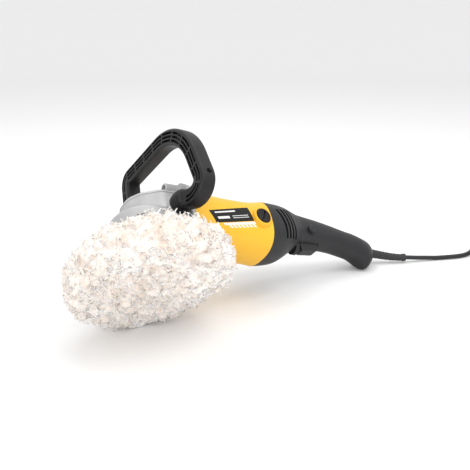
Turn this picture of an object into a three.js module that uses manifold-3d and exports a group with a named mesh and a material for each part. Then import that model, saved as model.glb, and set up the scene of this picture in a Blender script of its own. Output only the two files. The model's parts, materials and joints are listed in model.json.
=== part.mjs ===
// Rotary polisher: wool pad, right-angle gear head, D-handle, motor housing and rear grip.
// Millimetres, +Z up. The machine is designed in its own frame, "tool":
//   origin where the motor axis meets the spindle axis, +X to the rear, +Y to the user's right,
//   +Z away from the pad. The tool group is then turned to the way it lies when it is put down,
//   on the rim of its pad and the heel of its grip.
import * as THREE from 'three';
import { mergeVertices } from 'three/addons/utils/BufferGeometryUtils.js';
import Module from 'manifold-3d';

const wasm = await Module();
wasm.setup();

// ---------------------------------------------------------------- driving dimensions
const GAP = 0.3;                     // air between touching pieces
const WALL = 2.8;                    // moulded plastic wall

const PAD = { radius: 96, low: -101, high: -44.5, rim: 13, brow: 22, lip: 70, pocket: 86.4 };
const PLATE = { radius: 85.8, bottom: -72.6, top: -60.6, bore: 20.3 };
const HUB = { radius: 20, neck: 14, step: -55, top: -46.2, acrossCorners: 30 };
const SPINDLE = { thread: 7, journal: 10, collar: 12, low: -68, high: 15.5 };

const HEAD = { bowl: 42, floor: -30, step: -4, top: 20, nose: 23, rear: 50, crest: 41 };
const FLANGE = { halfWidth: 42, low: -38, thickness: 6 };
const COVER = { low: -41, seat: -34.6, radius: 39, screwCircle: 36 };

const MOTOR = { front: 50.3, rear: 168, bore: 36.8 };
const CORE = { front: 76, rear: 124 };                          // iron of the armature and the field
const BRUSH = { x: 152, capRadius: 10.6, seat: 45.4 };
const JOINT_X = 168.3;               // where the motor housing meets the rear housing

const LOOP = { x: 27, z: -3, hub: 47, depth: 20.2, width: 21.4 };
const LOOP_LOW = { x: 36.8, y: 93.8, z: -20.9, bend: 18 };      // outer corners, where the legs turn up
const LOOP_LEFT = { x: 36.5, y: -75.4, z: 99.5, bend: 74 };     // wide upper corner on the left
const LOOP_RIGHT = { x: 36.5, y: 72.7, z: 115.7, bend: 11 };    // tight upper corner on the right
const KEY_MOUTH = { x: 40, y: 108, z: 12, radius: 3.2 };        // where a hex key enters to reach the bolt
const TEETH = { crown: 38, pinion: 9 };
const LOCK_PIN = { x: 2, y: 17, bore: 3.8 };

const TRIGGER = { front: 240, rear: 273, low: -20, top: -2.5, halfWidth: 7.8 };
const DIAL = { x: 232, z: -12, radius: 11, thickness: 6.4 };
const LOCK_ON = { x: 256, z: 7, radius: 6 };

// how the tool lies: rolled onto its right side, then pitched tail-down
const ROLL = THREE.MathUtils.degToRad(47.2);
const PITCH = THREE.MathUtils.degToRad(16.4);

const CORD = { diameter: 6.6, sides: 8 };
const COIL = { x: 454.1, y: -104.2, radius: 39.6, across: 5, high: 2 };   // stored turns, mean radius
const RELIEF = { root: 7, tip: 5.2, inside: 12 };                  // bend protector at the tail of the grip
const PLUG = { x: 411.7, y: -173.7, heading: 202, length: 38, halfWidth: 17.5, halfHeight: 9.4 };
const PLUG_PIN = { radius: 2.4, length: 19, pitch: 9.5, inside: 5.6 };

// ---------------------------------------------------------------- materials
const material = (color, roughness = 0.6, metalness = 0) =>
  new THREE.MeshStandardMaterial({ color, roughness, metalness });
const blackPlastic = () => material(0x2b2b2e, 0.55);
const yellowPlastic = () => material(0xf6c52c, 0.45);
const castMetal = () => material(0xb4b7ba, 0.42, 0.7);
const steel = () => material(0x9a9da1, 0.3, 1);
const copper = () => material(0xb56b35, 0.35, 1);
const brass = () => material(0xc7a24a, 0.35, 1);
const wool = () => material(0xefe6da, 1);
const rubber = () => material(0x242426, 0.75);
const corePlates = () => material(0x6c6f73, 0.45, 0.9);
const carbon = () => material(0x1c1c1c, 0.5);
const fanPlastic = () => material(0x3a3d40, 0.6);
const switchPlastic = () => material(0x1f1f22, 0.5);
const board = () => material(0x2c5b3a, 0.6);

// ---------------------------------------------------------------- solids
const tool = new THREE.Group();
const world = new THREE.Group();

function solid(geometry) {
  const bare = geometry.clone();
  bare.deleteAttribute('normal');
  bare.deleteAttribute('uv');
  const merged = mergeVertices(bare, 1e-4);
  const vertProperties = new Float32Array(merged.attributes.position.array);
  const triVerts = new Uint32Array(merged.index.array);
  return new wasm.Manifold(new wasm.Mesh({ numProp: 3, vertProperties, triVerts }));
}

function toGeometry(manifold) {
  const mesh = manifold.getMesh();
  const geometry = new THREE.BufferGeometry();
  geometry.setAttribute('position', new THREE.BufferAttribute(mesh.vertProperties, 3));
  geometry.setIndex(new THREE.BufferAttribute(mesh.triVerts, 1));
  geometry.computeVertexNormals();
  return geometry;
}

const join = (first, ...rest) => rest.reduce((sum, piece) => sum.add(piece), first);
const cut = (first, ...rest) => rest.reduce((sum, piece) => sum.subtract(piece), first);

function box(x0, x1, y0, y1, z0, z1) {
  const geometry = new THREE.BoxGeometry(x1 - x0, y1 - y0, z1 - z0);
  return solid(geometry.translate((x0 + x1) / 2, (y0 + y1) / 2, (z0 + z1) / 2));
}

// A body of revolution. The profile is a list of [radius, height] pairs from low to high.
function turned(profile, segments = 24, axis = 'z') {
  const points = profile.map(([radius, height]) => new THREE.Vector2(radius, height));
  const geometry = new THREE.LatheGeometry(points, segments);
  if (axis === 'z') geometry.rotateX(Math.PI / 2);
  if (axis === 'x') geometry.rotateZ(-Math.PI / 2);
  return geometry;
}

const disc = (radius, low, high, segments = 24, axis = 'z') =>
  turned([[0, low], [radius, low], [radius, high], [0, high]], segments, axis);

const ringProfile = (inner, outer, low, high) =>
  [[inner, low], [outer, low], [outer, high], [inner, high], [inner, low]];

const ring = (inner, outer, low, high, segments = 24, axis = 'z') =>
  turned(ringProfile(inner, outer, low, high), segments, axis);

// Points of an arc in the (radius, height) plane, angles in degrees.
function arc(centre, radius, from, to, steps) {
  return Array.from({ length: steps + 1 }, (_, i) => {
    const angle = THREE.MathUtils.degToRad(from + ((to - from) * i) / steps);
    return [centre[0] + radius * Math.cos(angle), centre[1] + radius * Math.sin(angle)];
  });
}

// An outline in the YZ plane drawn out along X.
function alongX(points, x0, x1) {
  const shape = new THREE.Shape(points.map(([y, z]) => new THREE.Vector2(y, z)));
  const geometry = new THREE.ExtrudeGeometry(shape, { depth: x1 - x0, bevelEnabled: false });
  const turn = new THREE.Matrix4().makeBasis(
    new THREE.Vector3(0, 1, 0), new THREE.Vector3(0, 0, 1), new THREE.Vector3(1, 0, 0));
  return geometry.applyMatrix4(turn).translate(x0, 0, 0);
}

// An outline in the XY plane drawn up along Z, with an optional bevel inside its size.
function alongZ(points, z0, z1, bevel = 0) {
  const shape = new THREE.Shape(points.map(([x, y]) => new THREE.Vector2(x, y)));
  const edge = { bevelThickness: bevel, bevelSize: bevel, bevelOffset: -bevel, bevelSegments: 1 };
  const options = bevel
    ? { depth: z1 - z0 - 2 * bevel, ...edge }
    : { depth: z1 - z0, bevelEnabled: false };
  return new THREE.ExtrudeGeometry(shape, options).translate(0, 0, z0 + bevel);
}

const polygon = (count, radius, turn = 0) => Array.from({ length: count }, (_, i) => {
  const angle = turn + (2 * Math.PI * i) / count;
  return [radius * Math.cos(angle), radius * Math.sin(angle)];
});

// Catmull-Rom value of one column of a station table at x.
function stationValue(stations, key, x) {
  const last = stations.length - 1;
  let i = 0;
  while (i < last - 1 && x > stations[i + 1].x) i += 1;
  const [a, b, c, d] = [i - 1, i, i + 1, i + 2].map((k) => stations[THREE.MathUtils.clamp(k, 0, last)]);
  const span = c.x - b.x;
  const t = THREE.MathUtils.clamp((x - b.x) / span, 0, 1);
  const slopeB = c.x === a.x ? 0 : ((c[key] - a[key]) / (c.x - a.x)) * span;
  const slopeC = d.x === b.x ? 0 : ((d[key] - b[key]) / (d.x - b.x)) * span;
  const t2 = t * t;
  const t3 = t2 * t;
  return (2 * t3 - 3 * t2 + 1) * b[key] + (t3 - 2 * t2 + t) * slopeB
    + (3 * t2 - 2 * t3) * c[key] + (t3 - t2) * slopeC;
}

// A long body with a changing superellipse section: a cylinder whose rings follow the stations
// { x, w, h, z, n } = place, half width, half height, centre height and squareness.
function shaped(stations, x0, x1, rings, sides = 28, inset = 0) {
  const geometry = new THREE.CylinderGeometry(1, 1, 1, sides, rings);
  const position = geometry.attributes.position;
  for (let i = 0; i < position.count; i += 1) {
    const x = THREE.MathUtils.lerp(x0, x1, position.getY(i) + 0.5);
    const radial = Math.hypot(position.getX(i), position.getZ(i));
    const angle = Math.atan2(position.getX(i), position.getZ(i));
    const power = 2 / stationValue(stations, 'n', x);
    const cos = Math.cos(angle);
    const sin = Math.sin(angle);
    const y = Math.sign(cos) * Math.abs(cos) ** power * (stationValue(stations, 'w', x) - inset);
    const z = Math.sign(sin) * Math.abs(sin) ** power * (stationValue(stations, 'h', x) - inset);
    position.setXYZ(i, x, radial * y, radial * z + stationValue(stations, 'z', x));
  }
  return solid(geometry);
}

function add(name, shape, finish, group = tool) {
  const geometry = shape instanceof THREE.BufferGeometry ? shape : toGeometry(shape);
  const mesh = new THREE.Mesh(geometry, finish);
  mesh.name = name;
  group.add(mesh);
  return mesh;
}

const SIDES = [['left', -1], ['right', 1]];

// A shape made along +X, turned to point out of the left or the right side of the machine.
const outwards = (shape, side) => shape.rotate([0, 0, side * 90]);

// ---------------------------------------------------------------- gear head
const HEAD_SIDE = [[-HEAD.nose, 12], [-12, 28], [8, 40], [30, HEAD.crest]];
const HEAD_OUTLINE = [...HEAD_SIDE.map(([x, y]) => [x, -y]), ...[...HEAD_SIDE].reverse()];

function chamferedSquare(halfWidth, low, high, chamfer) {
  return [[-halfWidth, low + chamfer], [-halfWidth + chamfer, low], [halfWidth - chamfer, low],
    [halfWidth, low + chamfer], [halfWidth, high - chamfer], [halfWidth - chamfer, high],
    [-halfWidth + chamfer, high], [-halfWidth, high - chamfer]];
}

// The four corners where the head is screwed to the motor housing.
const FLANGE_SCREWS = [[-28, 30.5], [28, 30.5], [-34, -21], [34, -21]];

function gearHousing() {
  const bowl = solid(turned([
    [0, HEAD.floor], [36, HEAD.floor],
    ...arc([36, HEAD.floor + 6], 6, -60, 0, 2),
    [HEAD.bowl, HEAD.step - 5],
    ...arc([HEAD.bowl - 5, HEAD.step - 5], 5, 30, 90, 2),
    [0, HEAD.step]], 26));
  const crown = solid(alongZ(HEAD_OUTLINE, HEAD.step - 3, HEAD.top, 1.6));
  const blockOutline = chamferedSquare(36, HEAD.floor + 1, HEAD.crest - 6, 12);
  const rearBlock = solid(alongX(blockOutline, 26, HEAD.rear - 5));
  const flangeOutline = chamferedSquare(FLANGE.halfWidth, FLANGE.low, HEAD.crest + 2, 13);
  const flange = solid(alongX(flangeOutline, HEAD.rear - FLANGE.thickness, HEAD.rear));
  const bosses = FLANGE_SCREWS.map(([y, z]) =>
    solid(disc(6.6, 20, HEAD.rear, 10, 'x').translate(0, y, z)));
  const padProfile = [[0, 34], [16, 34], [14.5, LOOP.hub - 3.5], [0, LOOP.hub - 3.5]];
  const pads = SIDES.map(([, side]) =>
    outwards(solid(turned(padProfile, 14, 'x')), side).translate([LOOP.x, 0, LOOP.z]));
  const outer = join(bowl, crown, rearBlock, flange, ...bosses, ...pads);
  const inside = [
    solid(disc(34.4, HEAD.floor - 5, HEAD.step - 3, 20)),
    solid(disc(13, -12, 12, 14)),
    solid(disc(SPINDLE.journal + 1.6, 2, 15.8, 14)),
    solid(disc(19, 0, HEAD.rear + 1, 16, 'x')),
    solid(disc(24, HEAD.rear - 3, HEAD.rear + 1, 16, 'x')),
    solid(disc(LOCK_PIN.bore, -20, HEAD.top + 1, 10).translate(LOCK_PIN.x, LOCK_PIN.y, 0)),
  ];
  const bores = FLANGE_SCREWS.flatMap(([y, z]) => [
    solid(disc(2.5, 18, HEAD.rear + 1, 8, 'x').translate(0, y, z)),
    solid(disc(4.2, 18, 30, 8, 'x').translate(0, y, z))]);
  const threads = SIDES.map(([, side]) =>
    outwards(solid(disc(4.3, 24, LOOP.hub + 1, 12, 'x')), side).translate([LOOP.x, 0, LOOP.z]));
  return cut(outer, ...inside, ...bores, ...threads);
}
add('gear_housing', gearHousing(), castMetal());

FLANGE_SCREWS.forEach(([y, z], i) => {
  const shank = solid(disc(2.1, 27, 62, 10, 'x'));
  const head = solid(disc(3.6, 26.4, 29.7, 12, 'x'));
  const slot = box(26, 27.6, -0.5, 0.5, -4, 4);
  add(`housing_screw_${i + 1}`, cut(join(shank, head), slot).translate([0, y, z]), steel());
});

const COVER_SCREWS = polygon(4, COVER.screwCircle, Math.PI / 4);

function bearingCover() {
  const bore = SPINDLE.collar + 0.6;
  const under = HEAD.floor - GAP;
  const plate = turned([
    [bore, COVER.low], [22, COVER.low], [24, COVER.low + 2], [26, COVER.seat], [COVER.radius, COVER.seat],
    [COVER.radius, under], [33.6, under], [33.6, -26], [17.4, -26], [17.4, -35], [bore, -35],
    [bore, COVER.low]], 26);
  const holes = COVER_SCREWS.map(([x, y]) => solid(disc(1.5, -36, -29, 8).translate(x, y, 0)));
  return cut(solid(plate), ...holes);
}
add('bearing_cover', bearingCover(), castMetal());

const COVER_SCREW_PROFILE = [
  [0, COVER.seat - 2.8], [2.6, COVER.seat - 2.5], [2.8, COVER.seat - GAP],
  [1.2, COVER.seat - GAP], [1.2, -30.6], [0, -30.6]];

COVER_SCREWS.forEach(([x, y], i) => {
  add(`cover_screw_${i + 1}`, turned(COVER_SCREW_PROFILE, 10).translate(x, y, 0), steel());
});

// a push button in the crown of the head that drops a pin into the crown gear
const buttonBase = HEAD.top + 4;
const lockButton = turned([
  [0, -5], [3.4, -5], [3.4, buttonBase], [6, buttonBase],
  [6, buttonBase + 2.4], [5, buttonBase + 3.4], [0, buttonBase + 3.4]], 14);
add('spindle_lock_button', lockButton.translate(LOCK_PIN.x, LOCK_PIN.y, 0), blackPlastic());

// ---------------------------------------------------------------- spindle and its bearings
const gearSeat = SPINDLE.journal - 1.6;
const spindle = turned([
  [0, SPINDLE.low], [6, SPINDLE.low], [SPINDLE.thread, SPINDLE.low + 1],
  [SPINDLE.thread, -45.8], [SPINDLE.collar, -45.8], [SPINDLE.collar, -35.2],
  [gearSeat, -35.2], [gearSeat, -9], [5, -9], [5, SPINDLE.high], [0, SPINDLE.high]], 16);
add('spindle', spindle, steel());

add('lower_spindle_bearing', ring(SPINDLE.journal - 1.3, 17, -34.6, -26.4, 28), steel());
add('upper_spindle_bearing', ring(5.3, SPINDLE.journal + 0.9, 3, 13.6, 24), steel());

function toothedRing(count, root, tip, low, high, inner, axis) {
  const outline = Array.from({ length: count }, (_, i) => {
    const pitch = (2 * Math.PI) / count;
    return [[root, 0], [tip, 0.18], [tip, 0.42], [root, 0.6]].map(([radius, part]) => {
      const angle = (i + part) * pitch;
      return [radius * Math.cos(angle), radius * Math.sin(angle)];
    });
  }).flat();
  const body = axis === 'z' ? solid(alongZ(outline, low, high)) : solid(alongX(outline, low, high));
  return inner ? cut(body, solid(disc(inner, low - 1, high + 1, 20, axis))) : body;
}

// The crown gear is a bevel wheel: its teeth are trimmed by a cone that faces up to the pinion.
function crownGear() {
  const teeth = toothedRing(TEETH.crown, 28, 31, -21, -8.4, SPINDLE.journal - 1.3, 'z');
  const cone = turned([[0, -22], [32, -22], [32, -13], [24, -8.6], [18, -10], [0, -10]], TEETH.crown);
  return teeth.intersect(solid(cone));
}
add('crown_gear', crownGear(), steel());

function bevelPinion() {
  const teeth = toothedRing(TEETH.pinion, 5.6, 7.8, 13, 32, 4.2, 'x');
  const cone = turned([[0, 12], [5.2, 14], [7.8, 29], [7.8, 32.5], [0, 32.5]], TEETH.pinion * 2, 'x');
  return teeth.intersect(solid(cone));
}
add('bevel_pinion', bevelPinion(), steel());

// ---------------------------------------------------------------- pads
function woolPad() {
  const edge = PAD.radius - PAD.rim;
  return solid(turned([
    [0, PAD.low], [edge, PAD.low],
    ...arc([edge, PAD.low + PAD.rim], PAD.rim, -72, 0, 4),
    ...arc([PAD.radius - PAD.brow, PAD.high - PAD.brow], PAD.brow, 0, 90, 5),
    [PAD.lip, PAD.high - 5], [PAD.lip - 2, PLATE.top + 2.5], [PAD.lip + 6, PLATE.top + 1],
    [PAD.pocket, PLATE.top], [PAD.pocket, PLATE.bottom - GAP], [0, PLATE.bottom - GAP]], 32));
}

const plateSkirt = PLATE.top + 5.2;
const backingPad = turned([
  [PLATE.bore, PLATE.bottom], [PLATE.radius - 1, PLATE.bottom], [PLATE.radius, -70],
  [PLATE.radius - 0.5, -64], [PAD.lip, PLATE.top], [34, -57.6], [24, plateSkirt],
  [PLATE.bore, plateSkirt], [PLATE.bore, PLATE.bottom]], 32);
add('backing_pad', backingPad, rubber());

// a threaded boss that screws onto the spindle, with flats for a spanner on its neck
function padHub() {
  const bore = SPINDLE.thread + GAP;
  const body = solid(turned([
    [bore, PLATE.bottom], [HUB.radius, PLATE.bottom], [HUB.radius, HUB.step], [HUB.neck, HUB.step],
    [HUB.neck, HUB.top], [bore, HUB.top], [bore, PLATE.bottom]], 24));
  const hexagon = solid(alongZ(polygon(6, HUB.acrossCorners / 2), HUB.step - 0.2, HUB.top + 6));
  const base = solid(disc(HUB.radius + 1, PLATE.bottom - 1.4, HUB.step));
  return body.intersect(join(hexagon, base));
}
add('pad_hub', padHub(), steel());

// ---------------------------------------------------------------- D-handle
// Points of a round bend that replaces the corner at "corner".
function bend(before, corner, after, radius, steps) {
  const into = before.clone().sub(corner).normalize();
  const away = after.clone().sub(corner).normalize();
  const halfAngle = into.angleTo(away) / 2;
  const reach = radius / Math.tan(halfAngle);
  const centre = into.clone().add(away).setLength(radius / Math.sin(halfAngle)).add(corner);
  const start = corner.clone().addScaledVector(into, reach).sub(centre);
  const end = corner.clone().addScaledVector(away, reach).sub(centre);
  const turn = start.angleTo(end);
  return Array.from({ length: steps + 1 }, (_, i) => {
    const t = i / steps;
    const spoke = start.clone().multiplyScalar(Math.sin((1 - t) * turn));
    return spoke.addScaledVector(end, Math.sin(t * turn)).divideScalar(Math.sin(turn)).add(centre);
  });
}

// Centre line of the whole loop: left leg and upright, grip, right upright and leg.
function loopPath() {
  const at = ({ x, y, z }, side = 1) => new THREE.Vector3(x, side * y, z);
  const hub = { x: LOOP.x, y: LOOP.hub + 6, z: LOOP.z };
  const left = at(LOOP_LEFT);
  const right = at(LOOP_RIGHT);
  return [at(hub, -1),
    ...bend(at(hub, -1), at(LOOP_LOW, -1), left, LOOP_LOW.bend, 4),
    ...bend(at(LOOP_LOW, -1), left, right, LOOP_LEFT.bend, 8),
    ...bend(left, right, at(LOOP_LOW), LOOP_RIGHT.bend, 4),
    ...bend(right, at(LOOP_LOW), at(hub), LOOP_LOW.bend, 4),
    at(hub)];
}

const BAR_SIDES = 8;

// A bar swept along a list of points, its wide faces square to X all the way round.
function sweptBar(path, depth, width, squareness) {
  const geometry = new THREE.CylinderGeometry(1, 1, 1, BAR_SIDES, path.length - 1);
  const position = geometry.attributes.position;
  const forward = new THREE.Vector3(1, 0, 0);
  for (let i = 0; i < position.count; i += 1) {
    const index = Math.round((position.getY(i) + 0.5) * (path.length - 1));
    const next = path[Math.min(index + 1, path.length - 1)];
    const tangent = next.clone().sub(path[Math.max(index - 1, 0)]).normalize();
    const across = new THREE.Vector3().crossVectors(tangent, forward).normalize();
    const deep = new THREE.Vector3().crossVectors(across, tangent);
    const radial = Math.hypot(position.getX(i), position.getZ(i));
    const angle = Math.atan2(position.getX(i), position.getZ(i)) + Math.PI / BAR_SIDES;
    const round = (value) => Math.sign(value) * Math.abs(value) ** (2 / squareness) * radial;
    const point = path[index].clone().addScaledVector(deep, (round(Math.cos(angle)) * depth) / 2)
      .addScaledVector(across, (round(Math.sin(angle)) * width) / 2);
    position.setXYZ(i, point.x, point.y, point.z);
  }
  return solid(geometry);
}

// a round rod between two points
function rod(from, to, radius, sides) {
  const geometry = new THREE.CylinderGeometry(radius, radius, from.distanceTo(to), sides);
  const direction = to.clone().sub(from).normalize();
  const turn = new THREE.Quaternion().setFromUnitVectors(new THREE.Vector3(0, 1, 0), direction);
  const middle = from.clone().add(to).multiplyScalar(0.5);
  return solid(geometry.applyQuaternion(turn).translate(middle.x, middle.y, middle.z));
}

function dHandle() {
  const bar = sweptBar(loopPath(), LOOP.depth, LOOP.width, 5);
  const hub = turned([
    [0, LOOP.hub - 3.2], [13.5, LOOP.hub - 3.2], [14, LOOP.hub + 5],
    [12.5, LOOP.hub + 12], [8.5, LOOP.hub + 15], [0, LOOP.hub + 15]], 18, 'x');
  const boltHole = disc(4.2, LOOP.hub - 10, LOOP.hub + 12, 10, 'x');
  const headPocket = disc(7.2, LOOP.hub + 10, LOOP.hub + 17, 12, 'x');
  const atHub = (shape, side) => outwards(solid(shape), side).translate([LOOP.x, 0, LOOP.z]);
  const keyWay = (side) => rod(new THREE.Vector3(LOOP.x, side * (LOOP.hub + 14), LOOP.z),
    new THREE.Vector3(KEY_MOUTH.x, side * KEY_MOUTH.y, KEY_MOUTH.z), KEY_MOUTH.radius, 8);
  const hubs = SIDES.map(([, side]) => atHub(hub, side));
  const bores = SIDES.flatMap(([, side]) => [atHub(boltHole, side), atHub(headPocket, side), keyWay(side)]);
  return cut(join(bar, ...hubs), ...bores);
}
add('d_handle', dHandle(), blackPlastic());

for (const [name, side] of SIDES) {
  const shank = solid(disc(3.9, 26, LOOP.hub + 12, 12, 'x'));
  const head = solid(disc(6.4, LOOP.hub + 10.3, LOOP.hub + 15.4, 6, 'x'));
  add(`handle_bolt_${name}`, outwards(join(shank, head), side).translate([LOOP.x, 0, LOOP.z]), steel());
}

// ---------------------------------------------------------------- motor housing
const MOTOR_STATIONS = [
  { x: 50, w: 41.4, h: 41, z: 1.4, n: 3.3 },
  { x: 58, w: 41.2, h: 40, z: 0.4, n: 3 },
  { x: 78, w: 40.6, h: 39, z: -0.2, n: 2.6 },
  { x: 105, w: 40, h: 38.6, z: -0.2, n: 2.4 },
  { x: 145, w: 40, h: 39, z: 0.2, n: 2.3 },
  { x: 160, w: 40.8, h: 40, z: 0.8, n: 2.4 },
  { x: 169, w: 41.4, h: 40.8, z: 1.2, n: 2.5 },
];

function motorHousing() {
  const outer = shaped(MOTOR_STATIONS, MOTOR.front, MOTOR.rear, 6, 24);
  const rim = BRUSH.seat - 0.6;
  const boss = turned([[0, 24], [14.2, 24], [13.9, 42], [12.8, rim], [0, rim]], 20, 'x');
  const well = disc(BRUSH.capRadius + 0.5, 40.6, 60, 20, 'x');
  const port = disc(8.6, 20, 60, 16, 'x');
  const atBrush = (shape) => SIDES.map(([, side]) => outwards(solid(shape), side).translate([BRUSH.x, 0, 0]));
  const bore = solid(disc(MOTOR.bore, MOTOR.front - 1, MOTOR.rear + 1, 28, 'x'));
  const seat = solid(ring(11.4, 14, 165.4, MOTOR.rear, 24, 'x'));
  const spokes = [0, 1, 2].map((k) =>
    box(165.4, MOTOR.rear, -2, 2, 12.8, MOTOR.bore + 1.2).rotate([90 + k * 120, 0, 0]));
  const screws = FLANGE_SCREWS.map(([y, z]) => solid(disc(2.4, 49, 64, 10, 'x').translate(0, y, z)));
  const casing = cut(join(outer, ...atBrush(boss)), bore);
  return cut(join(casing, seat, ...spokes), ...atBrush(well), ...atBrush(port), ...screws);
}
add('motor_housing', motorHousing(), yellowPlastic());

const SPRING = { turns: 4, stepsPerTurn: 7, start: 29.8, length: 10, radius: 2.6, wire: 0.4 };

for (const [name, side] of SIDES) {
  const knob = turned([
    [0, 41], [BRUSH.capRadius, 41], [BRUSH.capRadius, BRUSH.seat],
    [BRUSH.capRadius - 1.2, BRUSH.seat + 1], [0, BRUSH.seat + 1]], 24, 'x');
  const slot = box(BRUSH.seat - 0.8, BRUSH.seat + 2, -1, 1, -BRUSH.capRadius, BRUSH.capRadius);
  add(`brush_cap_${name}`, outwards(cut(solid(knob), slot), side).translate([BRUSH.x, 0, 0]), blackPlastic());

  const holder = cut(box(14.6, 40.6, -5.4, 5.4, -5.2, 5.2), box(14, 41, -4.2, 4.2, -4, 4));
  add(`brush_holder_${name}`, outwards(holder, side).translate([BRUSH.x, 0, 0]), brass());

  const brush = box(13.6, 29, -3.8, 3.8, -3.6, 3.6);
  add(`carbon_brush_${name}`, outwards(brush, side).translate([BRUSH.x, 0, 0]), carbon());

  const steps = SPRING.turns * SPRING.stepsPerTurn;
  const helix = new THREE.CatmullRomCurve3(Array.from({ length: steps + 1 }, (_, i) => {
    const angle = (2 * Math.PI * i) / SPRING.stepsPerTurn;
    const along = SPRING.start + (SPRING.length * i) / steps;
    return new THREE.Vector3(along, SPRING.radius * Math.cos(angle), SPRING.radius * Math.sin(angle));
  }));
  const wire = new THREE.Shape(polygon(4, SPRING.wire).map(([x, y]) => new THREE.Vector2(x, y)));
  const spring = new THREE.ExtrudeGeometry(wire, { steps, extrudePath: helix });
  add(`brush_spring_${name}`, spring.rotateZ((side * Math.PI) / 2).translate(BRUSH.x, 0, 0), steel());
}

// ---------------------------------------------------------------- armature and field
const armatureShaft = turned([
  [0, 12], [3.9, 12], [3.9, 32.8], [5.4, 32.8], [5.4, 172], [3.8, 172], [3.8, 177], [0, 177]], 16, 'x');
add('armature_shaft', armatureShaft, steel());
add('front_bearing', ring(5.7, 15.4, 38, 47, 24, 'x'), steel());
add('rear_bearing', ring(5.7, 11.1, 164.4, 171.6, 20, 'x'), steel());

function coolingFan() {
  const hub = solid(disc(12, 50.4, 60, 20, 'x'));
  const plate = solid(turned([[0, 58.6], [33.5, 58.6], [33.5, 60.6], [0, 60.6]], 32, 'x'));
  const blades = Array.from({ length: 9 }, (_, i) =>
    box(51, 59, -0.9, 0.9, 9, 32).rotate([i * 40, 0, 0]));
  return cut(join(hub, plate, ...blades), solid(disc(5.6, 49, 62, 16, 'x')));
}
add('cooling_fan', coolingFan(), fanPlastic());

add('armature_core', toothedRing(12, 18.5, 22.6, CORE.front, CORE.rear, 5.6, 'x'), corePlates());
add('winding_front', ring(6, 18, 66, 75.6, 24, 'x'), copper());
add('winding_rear', ring(6, 17.4, 124.4, 136, 24, 'x'), copper());
add('commutator', toothedRing(16, 12.2, 13, 140, 163, 5.6, 'x'), copper());

// a window either side of each pole shoe lets its field coil through
function statorCore() {
  const body = solid(ring(23.6, 36.2, CORE.front, CORE.rear, 40, 'x'));
  const windows = [30, 150, 210, 330].map((angle) =>
    box(CORE.front - 1, CORE.rear + 1, 24, 31.6, -6, 6).rotate([angle, 0, 0]));
  return cut(body, ...windows);
}
add('stator_core', statorCore(), corePlates());

for (const [name, turn] of [['upper', 0], ['lower', 180]]) {
  const front = CORE.front - 10;
  const rear = CORE.rear + 10;
  const runs = [30, 150].map((angle) => box(front, rear, 25, 31, -5, 5).rotate([angle, 0, 0]));
  const half = box(front - 6, rear + 6, -40, 40, 6, 40);
  const ends = [front, rear - 8].map((x) => solid(ring(25, 31, x, x + 8, 32, 'x')).intersect(half));
  add(`field_coil_${name}`, join(...runs, ...ends).rotate([turn, 0, 0]), copper());
}

add('air_baffle', ring(33.8, 36.2, 61.6, 72, 32, 'x'), blackPlastic());

// ---------------------------------------------------------------- rear housing and grip
const GRIP_STATIONS = [
  { x: 168, w: 41.4, h: 40.8, z: 1.2, n: 2.5 },
  { x: 180, w: 40.8, h: 40.8, z: 2.2, n: 2.4 },
  { x: 196, w: 38.4, h: 40, z: 4.4, n: 2.3 },
  { x: 210, w: 33.6, h: 36.4, z: 8, n: 2.3 },
  { x: 224, w: 27.6, h: 31, z: 11.6, n: 2.3 },
  { x: 238, w: 23, h: 25, z: 13.8, n: 2.3 },
  { x: 256, w: 21, h: 22.6, z: 14, n: 2.3 },
  { x: 280, w: 19.8, h: 21.2, z: 12.4, n: 2.3 },
  { x: 305, w: 19, h: 20, z: 9.2, n: 2.2 },
  { x: 330, w: 18.6, h: 19.6, z: 4, n: 2.2 },
  { x: 346, w: 18.8, h: 20.6, z: 0.2, n: 2.2 },
  { x: 358, w: 19.4, h: 25.4, z: -6, n: 2.1 },
  { x: 366, w: 18.8, h: 26.6, z: -9, n: 2.1 },
  { x: 374, w: 16.4, h: 22, z: -8, n: 2.1 },
  { x: 381, w: 12, h: 15, z: -6.4, n: 2 },
  { x: 385, w: 8.6, h: 9, z: -5.5, n: 2 },
];
const CORD_EXIT = { x: 385, z: -5.5 };
const VENT = { x: 190, z: -1, halfWidth: 1.9, halfLength: 21, lean: -15, pitch: 8.2, rise: 2.4 };

// Air slots sweep round the flank and lean back towards the grip.
function ventSlots() {
  const slot = box(-VENT.halfWidth, VENT.halfWidth, 10, 60, -VENT.halfLength, VENT.halfLength);
  return [0, 1, 2, 3].flatMap((row) => SIDES.map(([, side]) =>
    slot.rotate([0, VENT.lean, 0])
      .translate([VENT.x + row * VENT.pitch, 0, VENT.z + row * VENT.rise])
      .scale([1, side, 1])));
}

function gripShells() {
  const outer = shaped(GRIP_STATIONS, JOINT_X, CORD_EXIT.x, 20, 18);
  const inner = shaped(GRIP_STATIONS, JOINT_X - 1, CORD_EXIT.x - 3, 10, 12, WALL);
  const lockHole = solid(disc(LOCK_ON.radius + 0.5, 10, 40, 16, 'x'));
  const openings = [
    box(TRIGGER.front - 2.4, TRIGGER.rear + 1.4, -8.4, 8.4, -40, TRIGGER.top + 1.5),
    box(DIAL.x - 4.3, DIAL.x + 4.3, -12.6, 12.6, -40, DIAL.z + 12),
    outwards(lockHole, -1).translate([LOCK_ON.x, 0, LOCK_ON.z]),
    solid(disc(RELIEF.root + GAP, 362, 400, 16, 'x').translate(0, 0, CORD_EXIT.z)),
    ...ventSlots(),
  ];
  const shell = cut(outer, inner, ...openings);
  const leftHalf = box(160, 400, -60, -GAP / 2, -60, 60);
  const rightHalf = box(160, 400, GAP / 2, 60, -60, 60);
  return [['left', shell.intersect(leftHalf)], ['right', shell.intersect(rightHalf)]];
}
for (const [name, half] of gripShells()) add(`grip_shell_${name}`, half, blackPlastic());

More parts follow.
